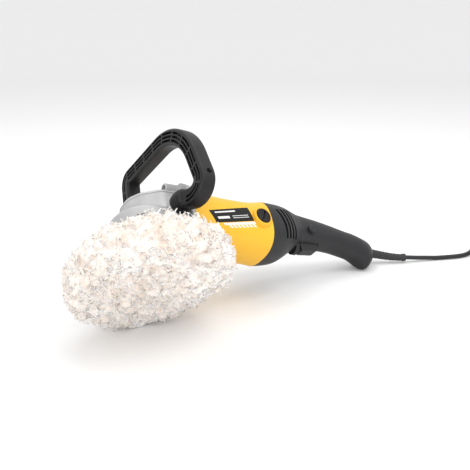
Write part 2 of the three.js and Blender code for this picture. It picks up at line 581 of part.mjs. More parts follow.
function trigger() {
  const outline = new THREE.Shape();
  outline.moveTo(TRIGGER.front, TRIGGER.top);
  outline.lineTo(TRIGGER.front, TRIGGER.low + 3);
  outline.quadraticCurveTo(TRIGGER.front, TRIGGER.low, TRIGGER.front + 3, TRIGGER.low);
  outline.lineTo(TRIGGER.rear - 8, TRIGGER.low + 1.4);
  outline.quadraticCurveTo(TRIGGER.rear, TRIGGER.low + 2, TRIGGER.rear, TRIGGER.low + 10);
  outline.lineTo(TRIGGER.rear, TRIGGER.top);
  const rounding = 1.6;
  const depth = 2 * (TRIGGER.halfWidth - rounding);
  const geometry = new THREE.ExtrudeGeometry(outline, { depth, bevelThickness: rounding, bevelSize: rounding,
    bevelOffset: -rounding, bevelSegments: 2, curveSegments: 4 });
  return geometry.translate(0, 0, -depth / 2).rotateX(Math.PI / 2);
}
add('trigger', trigger(), blackPlastic());

function speedDial() {
  const half = DIAL.thickness / 2;
  const wheel = toothedRing(16, DIAL.radius - 0.6, DIAL.radius, -half, half, 2.3, 'x');
  return wheel.translate([DIAL.x, 0, DIAL.z]);
}
add('speed_dial', speedDial(), blackPlastic());
add('speed_dial_axle', disc(2, DIAL.x - 9, DIAL.x + 3.7, 10, 'x').translate(0, 0, DIAL.z), steel());

// the button's inner flange keeps it in the shell
const lockOnButton = solid(turned([
  [0, 11.6], [LOCK_ON.radius + 1.2, 11.6], [LOCK_ON.radius + 1.2, 13],
  [LOCK_ON.radius, 13], [LOCK_ON.radius, 23.4], [LOCK_ON.radius - 1.4, 24.6], [0, 24.6]], 20, 'x'));
add('lock_on_button', outwards(lockOnButton, -1).translate([LOCK_ON.x, 0, LOCK_ON.z]), blackPlastic());

add('switch_body', box(238, 276, -8, 11.6, 4.4, 24), switchPlastic());
add('speed_module', box(194, 218, -13, 13, -14, 2), board());

const cordHole = solid(disc(CORD.diameter / 2 + GAP, 340, 356, 12, 'x').translate(0, 0, CORD_EXIT.z));
add('cord_clamp', cut(box(344, 352, -12, 12, -11, -2), cordHole), blackPlastic());

// ---------------------------------------------------------------- how it lies
tool.rotation.set(-ROLL, PITCH, 0, 'YXZ');

// The pad is pressed flat where it stands: cut level with the lowest point of the grip.
function seatPad() {
  tool.updateMatrixWorld(true);
  const reach = new THREE.Box3();
  for (const [name] of SIDES) reach.expandByObject(tool.getObjectByName(`grip_shell_${name}`), true);
  const slab = box(-600, 600, -600, 600, reach.min.z, reach.min.z + 600);
  const inverse = new THREE.Matrix4().copy(tool.matrixWorld).invert();
  return woolPad().intersect(slab.transform(inverse.elements));
}
add('wool_pad', seatPad(), wool());

tool.updateMatrixWorld(true);
const extent = new THREE.Box3().setFromObject(tool, true);
const middle = extent.getCenter(new THREE.Vector3());
tool.position.set(-middle.x, -middle.y, -extent.min.z);
tool.updateMatrixWorld(true);
world.add(tool);

// ---------------------------------------------------------------- mains cord, as it lies on the floor
// Everything below is in the world frame: z = 0 is the floor.
const FLOOR_CORD = CORD.diameter / 2 + 0.1;
const exit = new THREE.Vector3(CORD_EXIT.x, 0, CORD_EXIT.z).applyMatrix4(tool.matrixWorld);
const tailward = new THREE.Vector3(1, 0, 0).transformDirection(tool.matrixWorld);
const reliefStart = exit.clone().addScaledVector(tailward, -RELIEF.inside);

// a round tube whose radius may change along a list of points
function taperedTube(points, radii, sides) {
  const geometry = new THREE.CylinderGeometry(1, 1, 1, sides, points.length - 1);
  const position = geometry.attributes.position;
  const up = new THREE.Vector3(0, 0, 1);
  for (let i = 0; i < position.count; i += 1) {
    const index = Math.round((position.getY(i) + 0.5) * (points.length - 1));
    const next = points[Math.min(index + 1, points.length - 1)];
    const tangent = next.clone().sub(points[Math.max(index - 1, 0)]).normalize();
    const across = new THREE.Vector3().crossVectors(tangent, up).normalize();
    const over = new THREE.Vector3().crossVectors(across, tangent);
    const point = points[index].clone().addScaledVector(across, position.getX(i) * radii[index])
      .addScaledVector(over, position.getZ(i) * radii[index]);
    position.setXYZ(i, point.x, point.y, point.z);
  }
  return geometry;
}

// The bend protector leaves the grip along its axis and lies down on the floor with the cord.
const RELIEF_TIP = new THREE.Vector3(293.2, -30.6, 7.8);
function strainRelief() {
  const path = new THREE.CubicBezierCurve3(exit, exit.clone().addScaledVector(tailward, 22),
    RELIEF_TIP.clone().add(new THREE.Vector3(-21, 8.5, 0.6)), RELIEF_TIP);
  const outside = path.getSpacedPoints(10);
  const taper = (part) => THREE.MathUtils.lerp(RELIEF.root, RELIEF.tip, part);
  const radii = outside.map((_, i) => (i > 8 ? RELIEF.tip + 0.7 : taper(i / 8)));
  return taperedTube([reliefStart, ...outside], [RELIEF.root - 0.4, ...radii], 14);
}
add('strain_relief', strainRelief(), rubber(), world);

// The lead from the bend protector to the stored turns, and the free end with the plug.
const LEAD_POINTS = [[293.6, -30.8, 7.7], [303, -34.2, 6.8], [315, -38.8, 5.6], [329, -44, 4.5],
  [344, -49.8, FLOOR_CORD], [359, -55.6, FLOOR_CORD], [374, -60.6, FLOOR_CORD], [389, -63.4, FLOOR_CORD],
  [403, -61.6, FLOOR_CORD], [416, -56.6, FLOOR_CORD], [427.9, -50.5, FLOOR_CORD]];
const TAIL_POINTS = [[454.1, -164, 10.3], [445.1, -164.3, 9.2], [435.6, -165.9, 7.2], [427.1, -168, 7.4],
  [419.5, -170.6, 9], [412.3, -173.5, 9.5]];

function lead(points, steps) {
  const curve = new THREE.CatmullRomCurve3(points.map(([x, y, z]) => new THREE.Vector3(x, y, z)));
  const outline = polygon(CORD.sides, CORD.diameter / 2).map(([x, y]) => new THREE.Vector2(x, y));
  return new THREE.ExtrudeGeometry(new THREE.Shape(outline), { steps, extrudePath: curve });
}
add('power_cord', lead(LEAD_POINTS, 20), rubber(), world);
add('power_cord_tail', lead(TAIL_POINTS, 10), rubber(), world);

// the stored turns, as one ring of their outer shape
const coilHalf = (COIL.across * CORD.diameter) / 2;
const coilTop = COIL.high * CORD.diameter + 0.1;
const storedTurns = ring(COIL.radius - coilHalf, COIL.radius + coilHalf, 0.1, coilTop, 32);
add('cord_coil', storedTurns.translate(COIL.x, COIL.y, 0), rubber(), world);

// a flat two-pin plug lying on its side, its cord end towards the turns
const PLUG_STATIONS = [
  { x: 0, w: 5, h: 4.8, z: 0, n: 2 },
  { x: 10, w: 6.4, h: 6, z: 0, n: 2 },
  { x: 20, w: 13.5, h: 8.6, z: 0, n: 2.4 },
  { x: 30, w: PLUG.halfWidth, h: PLUG.halfHeight, z: 0, n: 2.8 },
  { x: PLUG.length, w: PLUG.halfWidth, h: PLUG.halfHeight, z: 0, n: 2.8 },
];
const plug = new THREE.Group();
plug.position.set(PLUG.x, PLUG.y, PLUG.halfHeight + 0.1);
plug.rotation.z = THREE.MathUtils.degToRad(PLUG.heading);
world.add(plug);
const pinRoot = PLUG.length - PLUG_PIN.inside;
const pinHole = disc(PLUG_PIN.radius + GAP, pinRoot - 0.4, PLUG.length + 1, 10, 'x');
const pinHoles = SIDES.map(([, side]) => solid(pinHole).translate([0, side * PLUG_PIN.pitch, 0]));
add('plug_body', cut(shaped(PLUG_STATIONS, 0, PLUG.length, 6, 16), ...pinHoles), rubber(), plug);

SIDES.forEach(([, side], i) => {
  const pin = disc(PLUG_PIN.radius, pinRoot, PLUG.length + PLUG_PIN.length, 10, 'x');
  add(`plug_pin_${i + 1}`, pin.translate(0, side * PLUG_PIN.pitch, 0), steel(), plug);
});

export default world;
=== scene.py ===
import json
import math
import random

import bpy
import bmesh
from mathutils import Matrix, Vector, kdtree, noise


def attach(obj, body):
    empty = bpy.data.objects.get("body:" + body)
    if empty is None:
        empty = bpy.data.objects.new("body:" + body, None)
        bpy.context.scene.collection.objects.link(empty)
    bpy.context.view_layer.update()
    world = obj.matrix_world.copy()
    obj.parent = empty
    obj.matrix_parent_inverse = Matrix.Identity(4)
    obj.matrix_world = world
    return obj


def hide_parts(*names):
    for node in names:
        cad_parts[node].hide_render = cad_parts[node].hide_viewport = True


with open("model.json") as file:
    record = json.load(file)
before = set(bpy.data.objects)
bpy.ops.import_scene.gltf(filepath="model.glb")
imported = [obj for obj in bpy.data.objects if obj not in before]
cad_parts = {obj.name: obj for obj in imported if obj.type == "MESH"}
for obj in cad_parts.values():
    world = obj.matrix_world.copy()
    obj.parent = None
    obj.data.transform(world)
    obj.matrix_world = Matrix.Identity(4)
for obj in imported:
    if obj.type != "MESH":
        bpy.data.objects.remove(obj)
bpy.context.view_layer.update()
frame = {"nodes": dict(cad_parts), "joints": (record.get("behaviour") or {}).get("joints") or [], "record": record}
NODES = frame["nodes"]
MM = 0.001

# -------- the machine's own frame
# Origin where the motor axis meets the spindle axis, X to the rear, Y to the user's right,
# Z away from the pad. The joints say where it lies.
JOINTS = {joint["name"]: joint for joint in frame["joints"]}
AXIS_X = Vector(JOINTS["armature_spin"]["axis"]).normalized()
AXIS_Z = Vector(JOINTS["spindle_spin"]["axis"]).normalized()
AXIS_Y = AXIS_Z.cross(AXIS_X)
ORIGIN = Vector(JOINTS["spindle_spin"]["pos_m"])
TOOL = Matrix.Translation(ORIGIN) @ Matrix((AXIS_X, AXIS_Y, AXIS_Z)).transposed().to_4x4()
TOOL_MM = TOOL @ Matrix.Scale(MM, 4)
WORLD_MM = Matrix.Scale(MM, 4)


def place(x, y, z):
    """A point of the machine's own frame, in millimetres, as a point of the world, in metres."""
    return TOOL_MM @ Vector((x, y, z))


# -------- camera
LENS, SENSOR = 49.8, 36.0
HEADING, DIP = math.radians(58.34), math.radians(18.56)  # turned from +X towards +Y, tipped down
CAMERA_AT = (-349.8, -571.8, -414.5)  # in the machine's own frame
camera_data = bpy.data.cameras.new("camera")
camera_data.lens, camera_data.sensor_width = LENS, SENSOR
camera = bpy.data.objects.new("camera", camera_data)
camera.location = place(*CAMERA_AT)
camera.rotation_euler = (math.pi / 2 - DIP, 0, HEADING - math.pi / 2)
bpy.context.scene.collection.objects.link(camera)
bpy.context.scene.camera = camera


# -------- mesh helpers
def build(name, verts, faces, matrix=TOOL_MM, sharp=35):
    """A mesh object from points in millimetres, smooth except where it turns more than sharp degrees."""
    mesh = bpy.data.meshes.new(name)
    mesh.from_pydata([tuple(v) for v in verts], [], faces)
    mesh.transform(matrix)
    piece = bpy.data.objects.new(name, mesh)
    bpy.context.scene.collection.objects.link(piece)
    clean(piece, sharp)
    return piece


def clean(piece, sharp=35):
    """Merges doubled points, turns the faces outwards and shades them smooth."""
    work = bmesh.new()
    work.from_mesh(piece.data)
    bmesh.ops.remove_doubles(work, verts=work.verts, dist=1e-7)
    bmesh.ops.recalc_face_normals(work, faces=work.faces)
    work.to_mesh(piece.data)
    work.free()
    piece.data.shade_smooth()
    piece.data.set_sharp_from_angle(angle=math.radians(sharp))


def ring_faces(rings, sides, closed=False):
    """Quads between rings of equal length, with flat ends unless the last ring meets the first."""
    faces = []
    for i in range(rings if closed else rings - 1):
        a, b = i * sides, ((i + 1) % rings) * sides
        faces += [(a + k, a + (k + 1) % sides, b + (k + 1) % sides, b + k) for k in range(sides)]
    if not closed:
        faces += [tuple(range(sides))[::-1], tuple(range((rings - 1) * sides, rings * sides))]
    return faces


def turned(name, profile, axis="z", centre=(0, 0, 0), sides=96, matrix=TOOL_MM, sharp=35):
    """A closed body of revolution. The profile is a list of (radius, height) pairs, radius above zero."""
    verts = []
    for radius, height in profile:
        for k in range(sides):
            a = 2 * math.pi * k / sides
            p = (radius * math.cos(a), radius * math.sin(a), height)
            if axis == "x":
                p = (p[2], p[0], p[1])
            if axis == "y":
                p = (p[0], p[2], -p[1])
            verts.append(Vector(p) + Vector(centre))
    return build(name, verts, ring_faces(len(profile), sides), matrix, sharp)


def smooth_value(stations, key, x):
    """Catmull-Rom value of one column of a station table at x."""
    xs = [s["x"] for s in stations]
    i = max(0, min(len(xs) - 2, sum(1 for v in xs if v <= x) - 1))
    a, b, c, d = (stations[max(0, min(len(xs) - 1, i + k))] for k in (-1, 0, 1, 2))
    span = c["x"] - b["x"]
    t = max(0.0, min(1.0, (x - b["x"]) / span))
    slope_b = 0 if c["x"] == a["x"] else (c[key] - a[key]) / (c["x"] - a["x"]) * span
    slope_c = 0 if d["x"] == b["x"] else (d[key] - b[key]) / (d["x"] - b["x"]) * span
    return ((2 * t**3 - 3 * t**2 + 1) * b[key] + (t**3 - 2 * t**2 + t) * slope_b
            + (3 * t**2 - 2 * t**3) * c[key] + (t**3 - t**2) * slope_c)


def table(keys, *rows):
    """Rows of numbers as dictionaries with one-letter keys."""
    return [dict(zip(keys, row)) for row in rows]


def shaped(name, stations, x0, x1, rings, sides, inset=0.0, matrix=TOOL_MM):
    """A long body whose superellipse section follows a table of stations along x.

    A station gives half width w, half height h, middle height z and squareness n."""
    verts = []
    for i in range(rings + 1):
        x = x0 + (x1 - x0) * i / rings
        w, h, z, n = (smooth_value(stations, key, x) for key in "whzn")
        for k in range(sides):
            a = 2 * math.pi * k / sides
            c, s = math.cos(a), math.sin(a)
            y = math.copysign(abs(c) ** (2 / n), c) * (w - inset)
            up = math.copysign(abs(s) ** (2 / n), s) * (h - inset)
            verts.append((x, y, up + z))
    return build(name, verts, ring_faces(rings + 1, sides), matrix)


def arc(x, y, radius, start, end, steps):
    """Points of an arc about (x, y), from one angle to another in degrees."""
    angles = [math.radians(start + (end - start) * k / steps) for k in range(steps + 1)]
    return [(x + radius * math.cos(a), y + radius * math.sin(a)) for a in angles]


def block(name, x0, x1, y0, y1, z0, z1, matrix=TOOL_MM):
    corners = [(x, y, z) for x in (x0, x1) for y in (y0, y1) for z in (z0, z1)]
    faces = [(0, 1, 3, 2), (4, 6, 7, 5), (0, 4, 5, 1), (2, 3, 7, 6), (0, 2, 6, 4), (1, 5, 7, 3)]
    return build(name, corners, faces, matrix)


def boolean(piece, tools, operation):
    """Cuts or joins the tools one after another, and removes them."""
    for tool in tools:
        step = piece.modifiers.new("step", "BOOLEAN")
        step.operation, step.solver, step.object = operation, "EXACT", tool
        made = bpy.data.meshes.new_from_object(piece.evaluated_get(bpy.context.evaluated_depsgraph_get()))
        piece.modifiers.clear()
        piece.data = made
        bpy.data.objects.remove(tool)
    clean(piece)
    return piece


def cut(piece, *tools):
    return boolean(piece, tools, "DIFFERENCE")


def join(piece, *tools):
    return boolean(piece, tools, "UNION")


def bevel(piece, width, segments=2, angle=38):
    """Rounds the edges that turn more than angle degrees, width millimetres wide."""
    rounding = piece.modifiers.new("edges", "BEVEL")
    rounding.width, rounding.segments = width * MM, segments
    rounding.limit_method, rounding.angle_limit = "ANGLE", math.radians(angle)
    rounding.harden_normals = True
    return piece


def finish_piece(piece, body, material, slot, *nodes):
    """Gives a new piece its material and body, and puts it in the place of its CAD nodes. The slot is not used."""
    piece.data.materials.clear()
    piece.data.materials.append(material)
    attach(piece, body)
    if nodes:
        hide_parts(*nodes)
    return piece


# -------- materials
class Look:
    """A Principled material with a few procedural helpers."""

    def __init__(self, name, color, roughness, metallic=0.0, **sockets):
        self.material = bpy.data.materials.new(name)
        self.material.use_nodes = True
        self.tree = self.material.node_tree
        self.shader = self.tree.nodes["Principled BSDF"]
        self.shader.inputs["Base Color"].default_value = (*color, 1)
        self.shader.inputs["Roughness"].default_value = roughness
        self.shader.inputs["Metallic"].default_value = metallic
        for socket, value in sockets.items():
            self.shader.inputs[socket.replace("_", " ")].default_value = value
        self.place = self.tree.nodes.new("ShaderNodeTexCoord").outputs["Object"]
        self.normal = None

    def noise(self, scale, detail=3.0, rough=0.55, stretch=None):
        node = self.tree.nodes.new("ShaderNodeTexNoise")
        node.inputs["Scale"].default_value = scale
        node.inputs["Detail"].default_value = detail
        node.inputs["Roughness"].default_value = rough
        source = self.place
        if stretch:
            mapping = self.tree.nodes.new("ShaderNodeMapping")
            mapping.inputs["Scale"].default_value = stretch
            self.tree.links.new(source, mapping.inputs["Vector"])
            source = mapping.outputs["Vector"]
        self.tree.links.new(source, node.inputs["Vector"])
        return node.outputs["Fac"]

    def ramp(self, value, *stops):
        """stops are (position, colour)."""
        node = self.tree.nodes.new("ShaderNodeValToRGB")
        elements = node.color_ramp.elements
        while len(elements) < len(stops):
            elements.new(0.5)
        for element, (position, color) in zip(elements, stops):
            element.position, element.color = position, (*color, 1)
        self.tree.links.new(value, node.inputs["Fac"])
        return node.outputs["Color"]

    def mix(self, factor, a, b, mode="MIX"):
        node = self.tree.nodes.new("ShaderNodeMix")
        node.data_type, node.blend_type = "RGBA", mode
        for name, value in (("Factor", factor), ("A", a), ("B", b)):
            socket = node.inputs[name]
            if isinstance(value, (int, float)):
                socket.default_value = value
            elif isinstance(value, tuple):
                socket.default_value = (*value, 1)
            else:
                self.tree.links.new(value, socket)
        return node.outputs["Result"]

    def color(self, output):
        self.tree.links.new(output, self.shader.inputs["Base Color"])

    def roughness(self, value, low, high):
        node = self.tree.nodes.new("ShaderNodeMapRange")
        node.inputs["To Min"].default_value, node.inputs["To Max"].default_value = low, high
        self.tree.links.new(value, node.inputs["Value"])
        self.tree.links.new(node.outputs["Result"], self.shader.inputs["Roughness"])

    def bump(self, value, strength, distance):
        node = self.tree.nodes.new("ShaderNodeBump")
        node.inputs["Strength"].default_value = strength
        node.inputs["Distance"].default_value = distance
        self.tree.links.new(value, node.inputs["Height"])
        if self.normal:
            self.tree.links.new(self.normal, node.inputs["Normal"])
        self.normal = node.outputs["Normal"]
        self.tree.links.new(self.normal, self.shader.inputs["Normal"])


def tint(color, factor):
    return tuple(c * factor for c in color)


def plastic(name, color, roughness, grain=0.00004, spread=0.10, scuff=0.06):
    """Moulded plastic or rubber: cloudy colour, scuffed gloss and a fine grain, grain metres deep."""
    look = Look(name, color, roughness, IOR=1.38)
    cloudy = look.noise(22, 4)
    look.color(look.ramp(cloudy, (0.3, tint(color, 1 - spread)), (0.7, tint(color, 1 + spread))))
    look.roughness(look.noise(60, 5, 0.6), roughness - scuff, roughness + scuff)
    look.bump(look.noise(1900, 2), 0.5, grain)
    return look.material


def metal(name, color, roughness, brushed=False):
    """Bare metal with stained patches, and fine lines when it is brushed."""
    look = Look(name, color, roughness, 1.0)
    look.color(look.ramp(look.noise(40, 5, 0.6), (0.3, tint(color, 0.86)), (0.7, tint(color, 1.08))))
    look.roughness(look.noise(90, 4, 0.6), roughness - 0.07, roughness + 0.09)
    if brushed:
        look.bump(look.noise(700, 3, 0.6, (1, 1, 14)), 0.35, 0.00003)
    return look.material


def cast_aluminium():
    """Lacquered casting: a sandy grain over shallow waves."""
    color = (0.47, 0.47, 0.475)
    look = Look("cast_aluminium", color, 0.46, 0.3, IOR=1.5)
    look.color(look.ramp(look.noise(30, 5, 0.6), (0.3, tint(color, 0.9)), (0.7, tint(color, 1.06))))
    look.roughness(look.noise(120, 4, 0.6), 0.40, 0.56)
    look.bump(look.noise(1400, 3, 0.6), 0.5, 0.00006)
    look.bump(look.noise(160, 3), 0.25, 0.0002)
    return look.material


def wool_fibre(name, light, shade, dark):
    """Matt wool that lets light through, with broad, middle and fine patches of colour."""
    look = Look(name, light, 0.92, Sheen_Weight=0.3, Sheen_Roughness=0.5, Subsurface_Weight=0.6,
                Subsurface_Radius=(0.006, 0.005, 0.004), Subsurface_Scale=0.5)
    broad = look.ramp(look.noise(17, 3, 0.6), (0.34, shade), (0.60, light))
    middle = look.ramp(look.noise(64, 4, 0.65), (0.36, dark), (0.54, (1, 1, 1)))
    fine = look.ramp(look.noise(420, 3, 0.6, (1, 1, 0.4)), (0.3, tint(dark, 1.15)), (0.55, (1, 1, 1)))
    look.color(look.mix(0.5, look.mix(0.62, broad, middle, "MULTIPLY"), fine, "MULTIPLY"))
    look.bump(look.noise(900, 4, 0.7), 0.6, 0.0006)
    return look.material


YELLOW = plastic("yellow_plastic", (0.90, 0.50, 0.035), 0.38, 0.00003, 0.03, 0.05)
GREY = plastic("grip_plastic", (0.020, 0.020, 0.022), 0.44, 0.00005, 0.08)
DARK = plastic("handle_plastic", (0.012, 0.0115, 0.012), 0.46, 0.00005, 0.10)
BLACK = plastic("black_plastic", (0.010, 0.008, 0.008), 0.45, 0.00003, 0.10)
CAST = cast_aluminium()
STEEL = metal("turned_steel", (0.56, 0.56, 0.57), 0.30, brushed=True)
COPPER = metal("copper_wire", (0.66, 0.33, 0.16), 0.35, brushed=True)
BRASS = metal("brass_sheet", (0.74, 0.57, 0.25), 0.32, brushed=True)
NICKEL = metal("nickel_plate", (0.70, 0.69, 0.66), 0.16)
CORE = metal("core_plates", (0.30, 0.30, 0.31), 0.42, brushed=True)
CARBON = plastic("pressed_carbon", (0.016, 0.016, 0.017), 0.55, 0.00008)
BOARD = plastic("circuit_board", (0.03, 0.16, 0.07), 0.35)
RUBBER = plastic("moulded_rubber", (0.030, 0.030, 0.032), 0.62, 0.00008)
CORD = plastic("cord_sheath", (0.024, 0.024, 0.026), 0.50, 0.00006)
RELIEF = plastic("relief_rubber", (0.032, 0.032, 0.034), 0.55, 0.00006)
INK_WHITE = plastic("print_white", (0.80, 0.80, 0.78), 0.42, 0.00002, 0.02)
INK_BLACK = plastic("print_black", (0.005, 0.005, 0.005), 0.5, 0.00001, 0.05)
WOOL = wool_fibre("wool", (0.95, 0.93, 0.91), (0.91, 0.86, 0.81), (0.88, 0.80, 0.72))
# The pad's body under the locks gets darker, browner wool than the locks: painted shade where the locks shadow
# their roots and the valleys between tufts.
WOOL_BODY_SHADED = wool_fibre("wool_root_painted_shade", (0.93, 0.89, 0.86), (0.87, 0.80, 0.74), (0.82, 0.73, 0.65))
SLOT_LOOKS = {
    "cast_aluminium": CAST, "yellow_housing": YELLOW, "grip_plastic": GREY, "handle_plastic": DARK,
    "black_plastic": BLACK, "wool": WOOL, "backing_rubber": RUBBER, "cord_rubber": CORD, "copper": COPPER,
    "brass": BRASS, "nickel": NICKEL, "carbon": CARBON, "circuit_board": BOARD, "core_steel": CORE,
    "steel": STEEL,
}

# -------- mains cord
TAIL_X, EXIT_Z = 385, -5.5
CORD_DIAMETER, CORD_STEP, CORD_SIDES = 6.6, 2.4, 14
FLOOR_CORD = CORD_DIAMETER / 2 + 0.1  # middle of the cord where it lies flat
EXIT = place(TAIL_X, 0, EXIT_Z) / MM
RELIEF_TIP = Vector((293.2, -30.6, 7.8))
RELIEF_LEAVES, RELIEF_ARRIVES = 22, Vector((-21, 8.5, 0.6))  # how the curve pulls at its two ends
RELIEF_STEPS, STUB_LENGTH, STUB_RADIUS = 60, 11.5, 6.6
RELIEF_THICK, RELIEF_THIN, RELIEF_LIP, RELIEF_END, RELIEF_GROOVE = 7.0, 5.2, 5.9, 5.5, 0.28
LEAD_POINTS = [(303, -34.2, 6.8), (315, -38.8, 5.6), (329, -44, 4.5), (344, -49.8, FLOOR_CORD),
               (359, -55.6, FLOOR_CORD), (374, -60.6, FLOOR_CORD), (389, -63.4, FLOOR_CORD),
               (403, -61.6, FLOOR_CORD), (416, -56.6, FLOOR_CORD)]
COIL_X, COIL_Y, COIL_RADIUS, ACROSS = 454.1, -104.2, 39.6, 5
ENTRY_ANGLE, EXIT_ANGLE, COIL_GAP = 116, -90, 0.3
CLIMB_PART, LEAVE_PART = 0.55, 0.3  # parts of a turn
TAIL_POINTS = [(445.1, -164.3, 9.2), (435.6, -165.9, 7.2), (427.1, -168, 7.4), (419.5, -170.6, 9),
               (412.3, -173.5, 9.5)]


def relief_line(steps):
    """Centre line of the bend protector: straight out of the grip, then level."""
    a, d = EXIT, RELIEF_TIP
    b, c = a + AXIS_X * RELIEF_LEAVES, d + RELIEF_ARRIVES
    points = []
    for i in range(steps + 1):
        t = i / steps
        points.append(a * (1 - t)**3 + b * 3 * t * (1 - t)**2 + c * 3 * t * t * (1 - t) + d * t**3)
    return points


def step(part, begin, end):
    """A smooth step from 0 to 1 between two parts of a turn."""
    t = max(0.0, min(1.0, (part - begin) / (end - begin)))
    return t * t * (3 - 2 * t)


def coil_line(steps_per_turn=24):
    """Flat turns inwards on the floor, one turn that climbs, flat turns outwards on top of them."""
    outer = COIL_RADIUS + CORD_DIAMETER * (ACROSS - 1) / 2
    inner = COIL_RADIUS - CORD_DIAMETER * (ACROSS - 1) / 2
    reach = outer + CORD_DIAMETER + COIL_GAP
    flat = ACROSS - 1
    total = 2 * flat + 1 + (ENTRY_ANGLE - EXIT_ANGLE) / 360
    points = []
    count = int(total * steps_per_turn)
    for i in range(count + 1):
        turn = total * i / count
        angle = math.radians(ENTRY_ANGLE - 360 * turn)
        climb = max(0.0, min(1.0, turn - flat))
        height = FLOOR_CORD + CORD_DIAMETER * step(climb, 0, CLIMB_PART)
        column, part = divmod(min(turn, flat), 1)
        radius = outer - CORD_DIAMETER * (column + step(part, 0.5, 1))
        radius += (reach - outer) * (1 - step(turn, 0, 0.5))
        if turn > flat + 1:
            column, part = divmod(turn - flat - 1, 1)
            radius = inner + CORD_DIAMETER * (column + step(part, 0, 0.5))
            late = max(0.0, 1 - (total - turn) / LEAVE_PART)
            radius += (reach - outer - CORD_DIAMETER) * late * late
        x, y = COIL_X + radius * math.cos(angle), COIL_Y + radius * math.sin(angle)
        points.append(Vector((x, y, height)))
    return points


def smooth_line(points, spacing):
    """A Catmull-Rom line through the points, with steps of about spacing millimetres."""
    line = []
    for i in range(len(points) - 1):
        a, b, c, d = (points[max(0, min(len(points) - 1, i + k))] for k in (-1, 0, 1, 2))
        steps = max(1, round((c - b).length / spacing))
        for s in range(steps):
            t = s / steps
            line.append(0.5 * (2 * b + (c - a) * t + (2 * a - 5 * b + 4 * c - d) * t**2
                               + (3 * b - 3 * c + d - a) * t**3))
    return line + [points[-1]]


def tube(name, line, radii, sides, matrix=WORLD_MM):
    """A closed round tube along a line. The frame is carried along without twist."""
    verts = []
    side = Vector((0, 0, 1))
    for i, point in enumerate(line):
        along = (line[min(i + 1, len(line) - 1)] - line[max(i - 1, 0)]).normalized()
        side = (side - along * side.dot(along)).normalized()
        over = along.cross(side)
        for k in range(sides):
            a = 2 * math.pi * k / sides
            verts.append(point + (side * math.cos(a) + over * math.sin(a)) * radii[i])
    return build(name, verts, ring_faces(len(line), sides), matrix)


def power_cord():
    """The whole cord from the grip to the plug. Returns the piece, its path and its length in metres."""
    route = (relief_line(5) + [Vector(p) for p in LEAD_POINTS] + coil_line()
             + [Vector(p) for p in TAIL_POINTS])
    line = smooth_line(route, CORD_STEP)
    for point in line:
        point.z = max(point.z, FLOOR_CORD)
    piece = tube("mains_cord", line, [CORD_DIAMETER / 2] * len(line), CORD_SIDES)
    finish_piece(piece, "housing", CORD, "cord_rubber", "power_cord", "power_cord_tail", "cord_coil")
    length = sum((b - a).length for a, b in zip(line, line[1:])) * MM
    return piece, [p * MM for p in line], length


def strain_relief():
    """The bend protector: a stub in the grip, a long taper with shallow grooves and a thick lip."""
    inside = EXIT - AXIS_X * STUB_LENGTH
    radii = []
    for i in range(RELIEF_STEPS + 1):
        t = i / RELIEF_STEPS
        radius = RELIEF_THICK + (RELIEF_THIN - RELIEF_THICK) * min(1, t / 0.9)
        if t > 0.93:
            radius = RELIEF_LIP if t < 0.985 else RELIEF_END
        elif 0.1 < t < 0.88 and (i // 2) % 3 == 2:
            radius -= RELIEF_GROOVE
        radii.append(radius)
    piece = tube("bend_protector", [inside] + relief_line(RELIEF_STEPS), [STUB_RADIUS] + radii, 40)
    return finish_piece(piece, "housing", RELIEF, "cord_rubber", "strain_relief")


PLUG_AT, PLUG_HEADING = Vector((411.7, -173.7, 9.5)), math.radians(202)
PLUG_FRAME = Matrix.Translation(PLUG_AT * MM) @ Matrix.Rotation(PLUG_HEADING, 4, "Z") @ WORLD_MM
PLUG_LENGTH, PIN_SPREAD, PIN_HOLE = 38, 9.5, 2.6
PLUG_SHAPE = table("xwhzn", (0, 5, 4.8, 0, 2), (10, 6.4, 6, 0, 2), (20, 13.5, 8.6, 0, 2.4),
                   (30, 17.5, 9.4, 0, 2.8), (PLUG_LENGTH, 17.5, 9.4, 0, 2.8))
PIN_SHAPE = [(2.3, 32.6), (2.4, 33), (2.4, 49), (2.2, 49.2), (2.2, 55), (1.9, 56.3), (1.0, 57)]


def plug():
    """The moulding and its two sleeved pins, along the plug's own x."""
    body = shaped("plug_moulding", PLUG_SHAPE, 0, PLUG_LENGTH, 60, 72, 0, PLUG_FRAME)
    hole = [(PIN_HOLE, PLUG_LENGTH - 6), (PIN_HOLE, PLUG_LENGTH + 2)]
    cut(body, *[turned("hole", hole, "x", (0, side * PIN_SPREAD, 0), 24, PLUG_FRAME) for side in (-1, 1)])
    finish_piece(bevel(body, 0.8, 3), "housing", CORD, "cord_rubber", "plug_body")
    pins = []
    for i, side in enumerate((-1, 1), 1):
        pin = turned(f"contact_pin_{i}", PIN_SHAPE, "x", (0, side * PIN_SPREAD, 0), 32, PLUG_FRAME)
        pins.append(finish_piece(pin, "housing", NICKEL, "nickel", f"plug_pin_{i}"))
    return [body] + pins


cord, cord_path, cord_length = power_cord()
relief = strain_relief()
plug_parts = plug()


# -------- gear head
BOWL, BOWL_CORNER, BOWL_SHOULDER = 42, 6, 5
FLOOR_Z, STEP_Z, TOP_Z, NOSE, REAR, CREST = -30, -4, 20, 23, 50, 41
HEAD_SIDE = [(-NOSE, 12), (-12, 28), (8, 40), (30, CREST)]
FLANGE_SCREWS = [(-28, 30.5), (28, 30.5), (-34, -21), (34, -21)]
CROWN_CORNER, CROWN_STEPS = 24, 10
RIM_LOW, RIM_HIGH, RIM_OUT, RIM_IN = 15.4, 16.3, 1.08, 0.978  # the line pressed in under the crown's edge
HANDLE_X, HANDLE_Z, HANDLE_SEAT = 27, -3, 43.5
GEAR_ROOM, PINION_ROOM, BEARING_ROOM = 34.4, 19, 24
SCREW_HOLE, SCREW_HEAD, HANDLE_THREAD, LOCK_HOLE = 2.5, 4.2, 4.3, 3.8
SLITS = [(-117, -18, 17), (-132, -23.4, 9)]  # direction, height and length


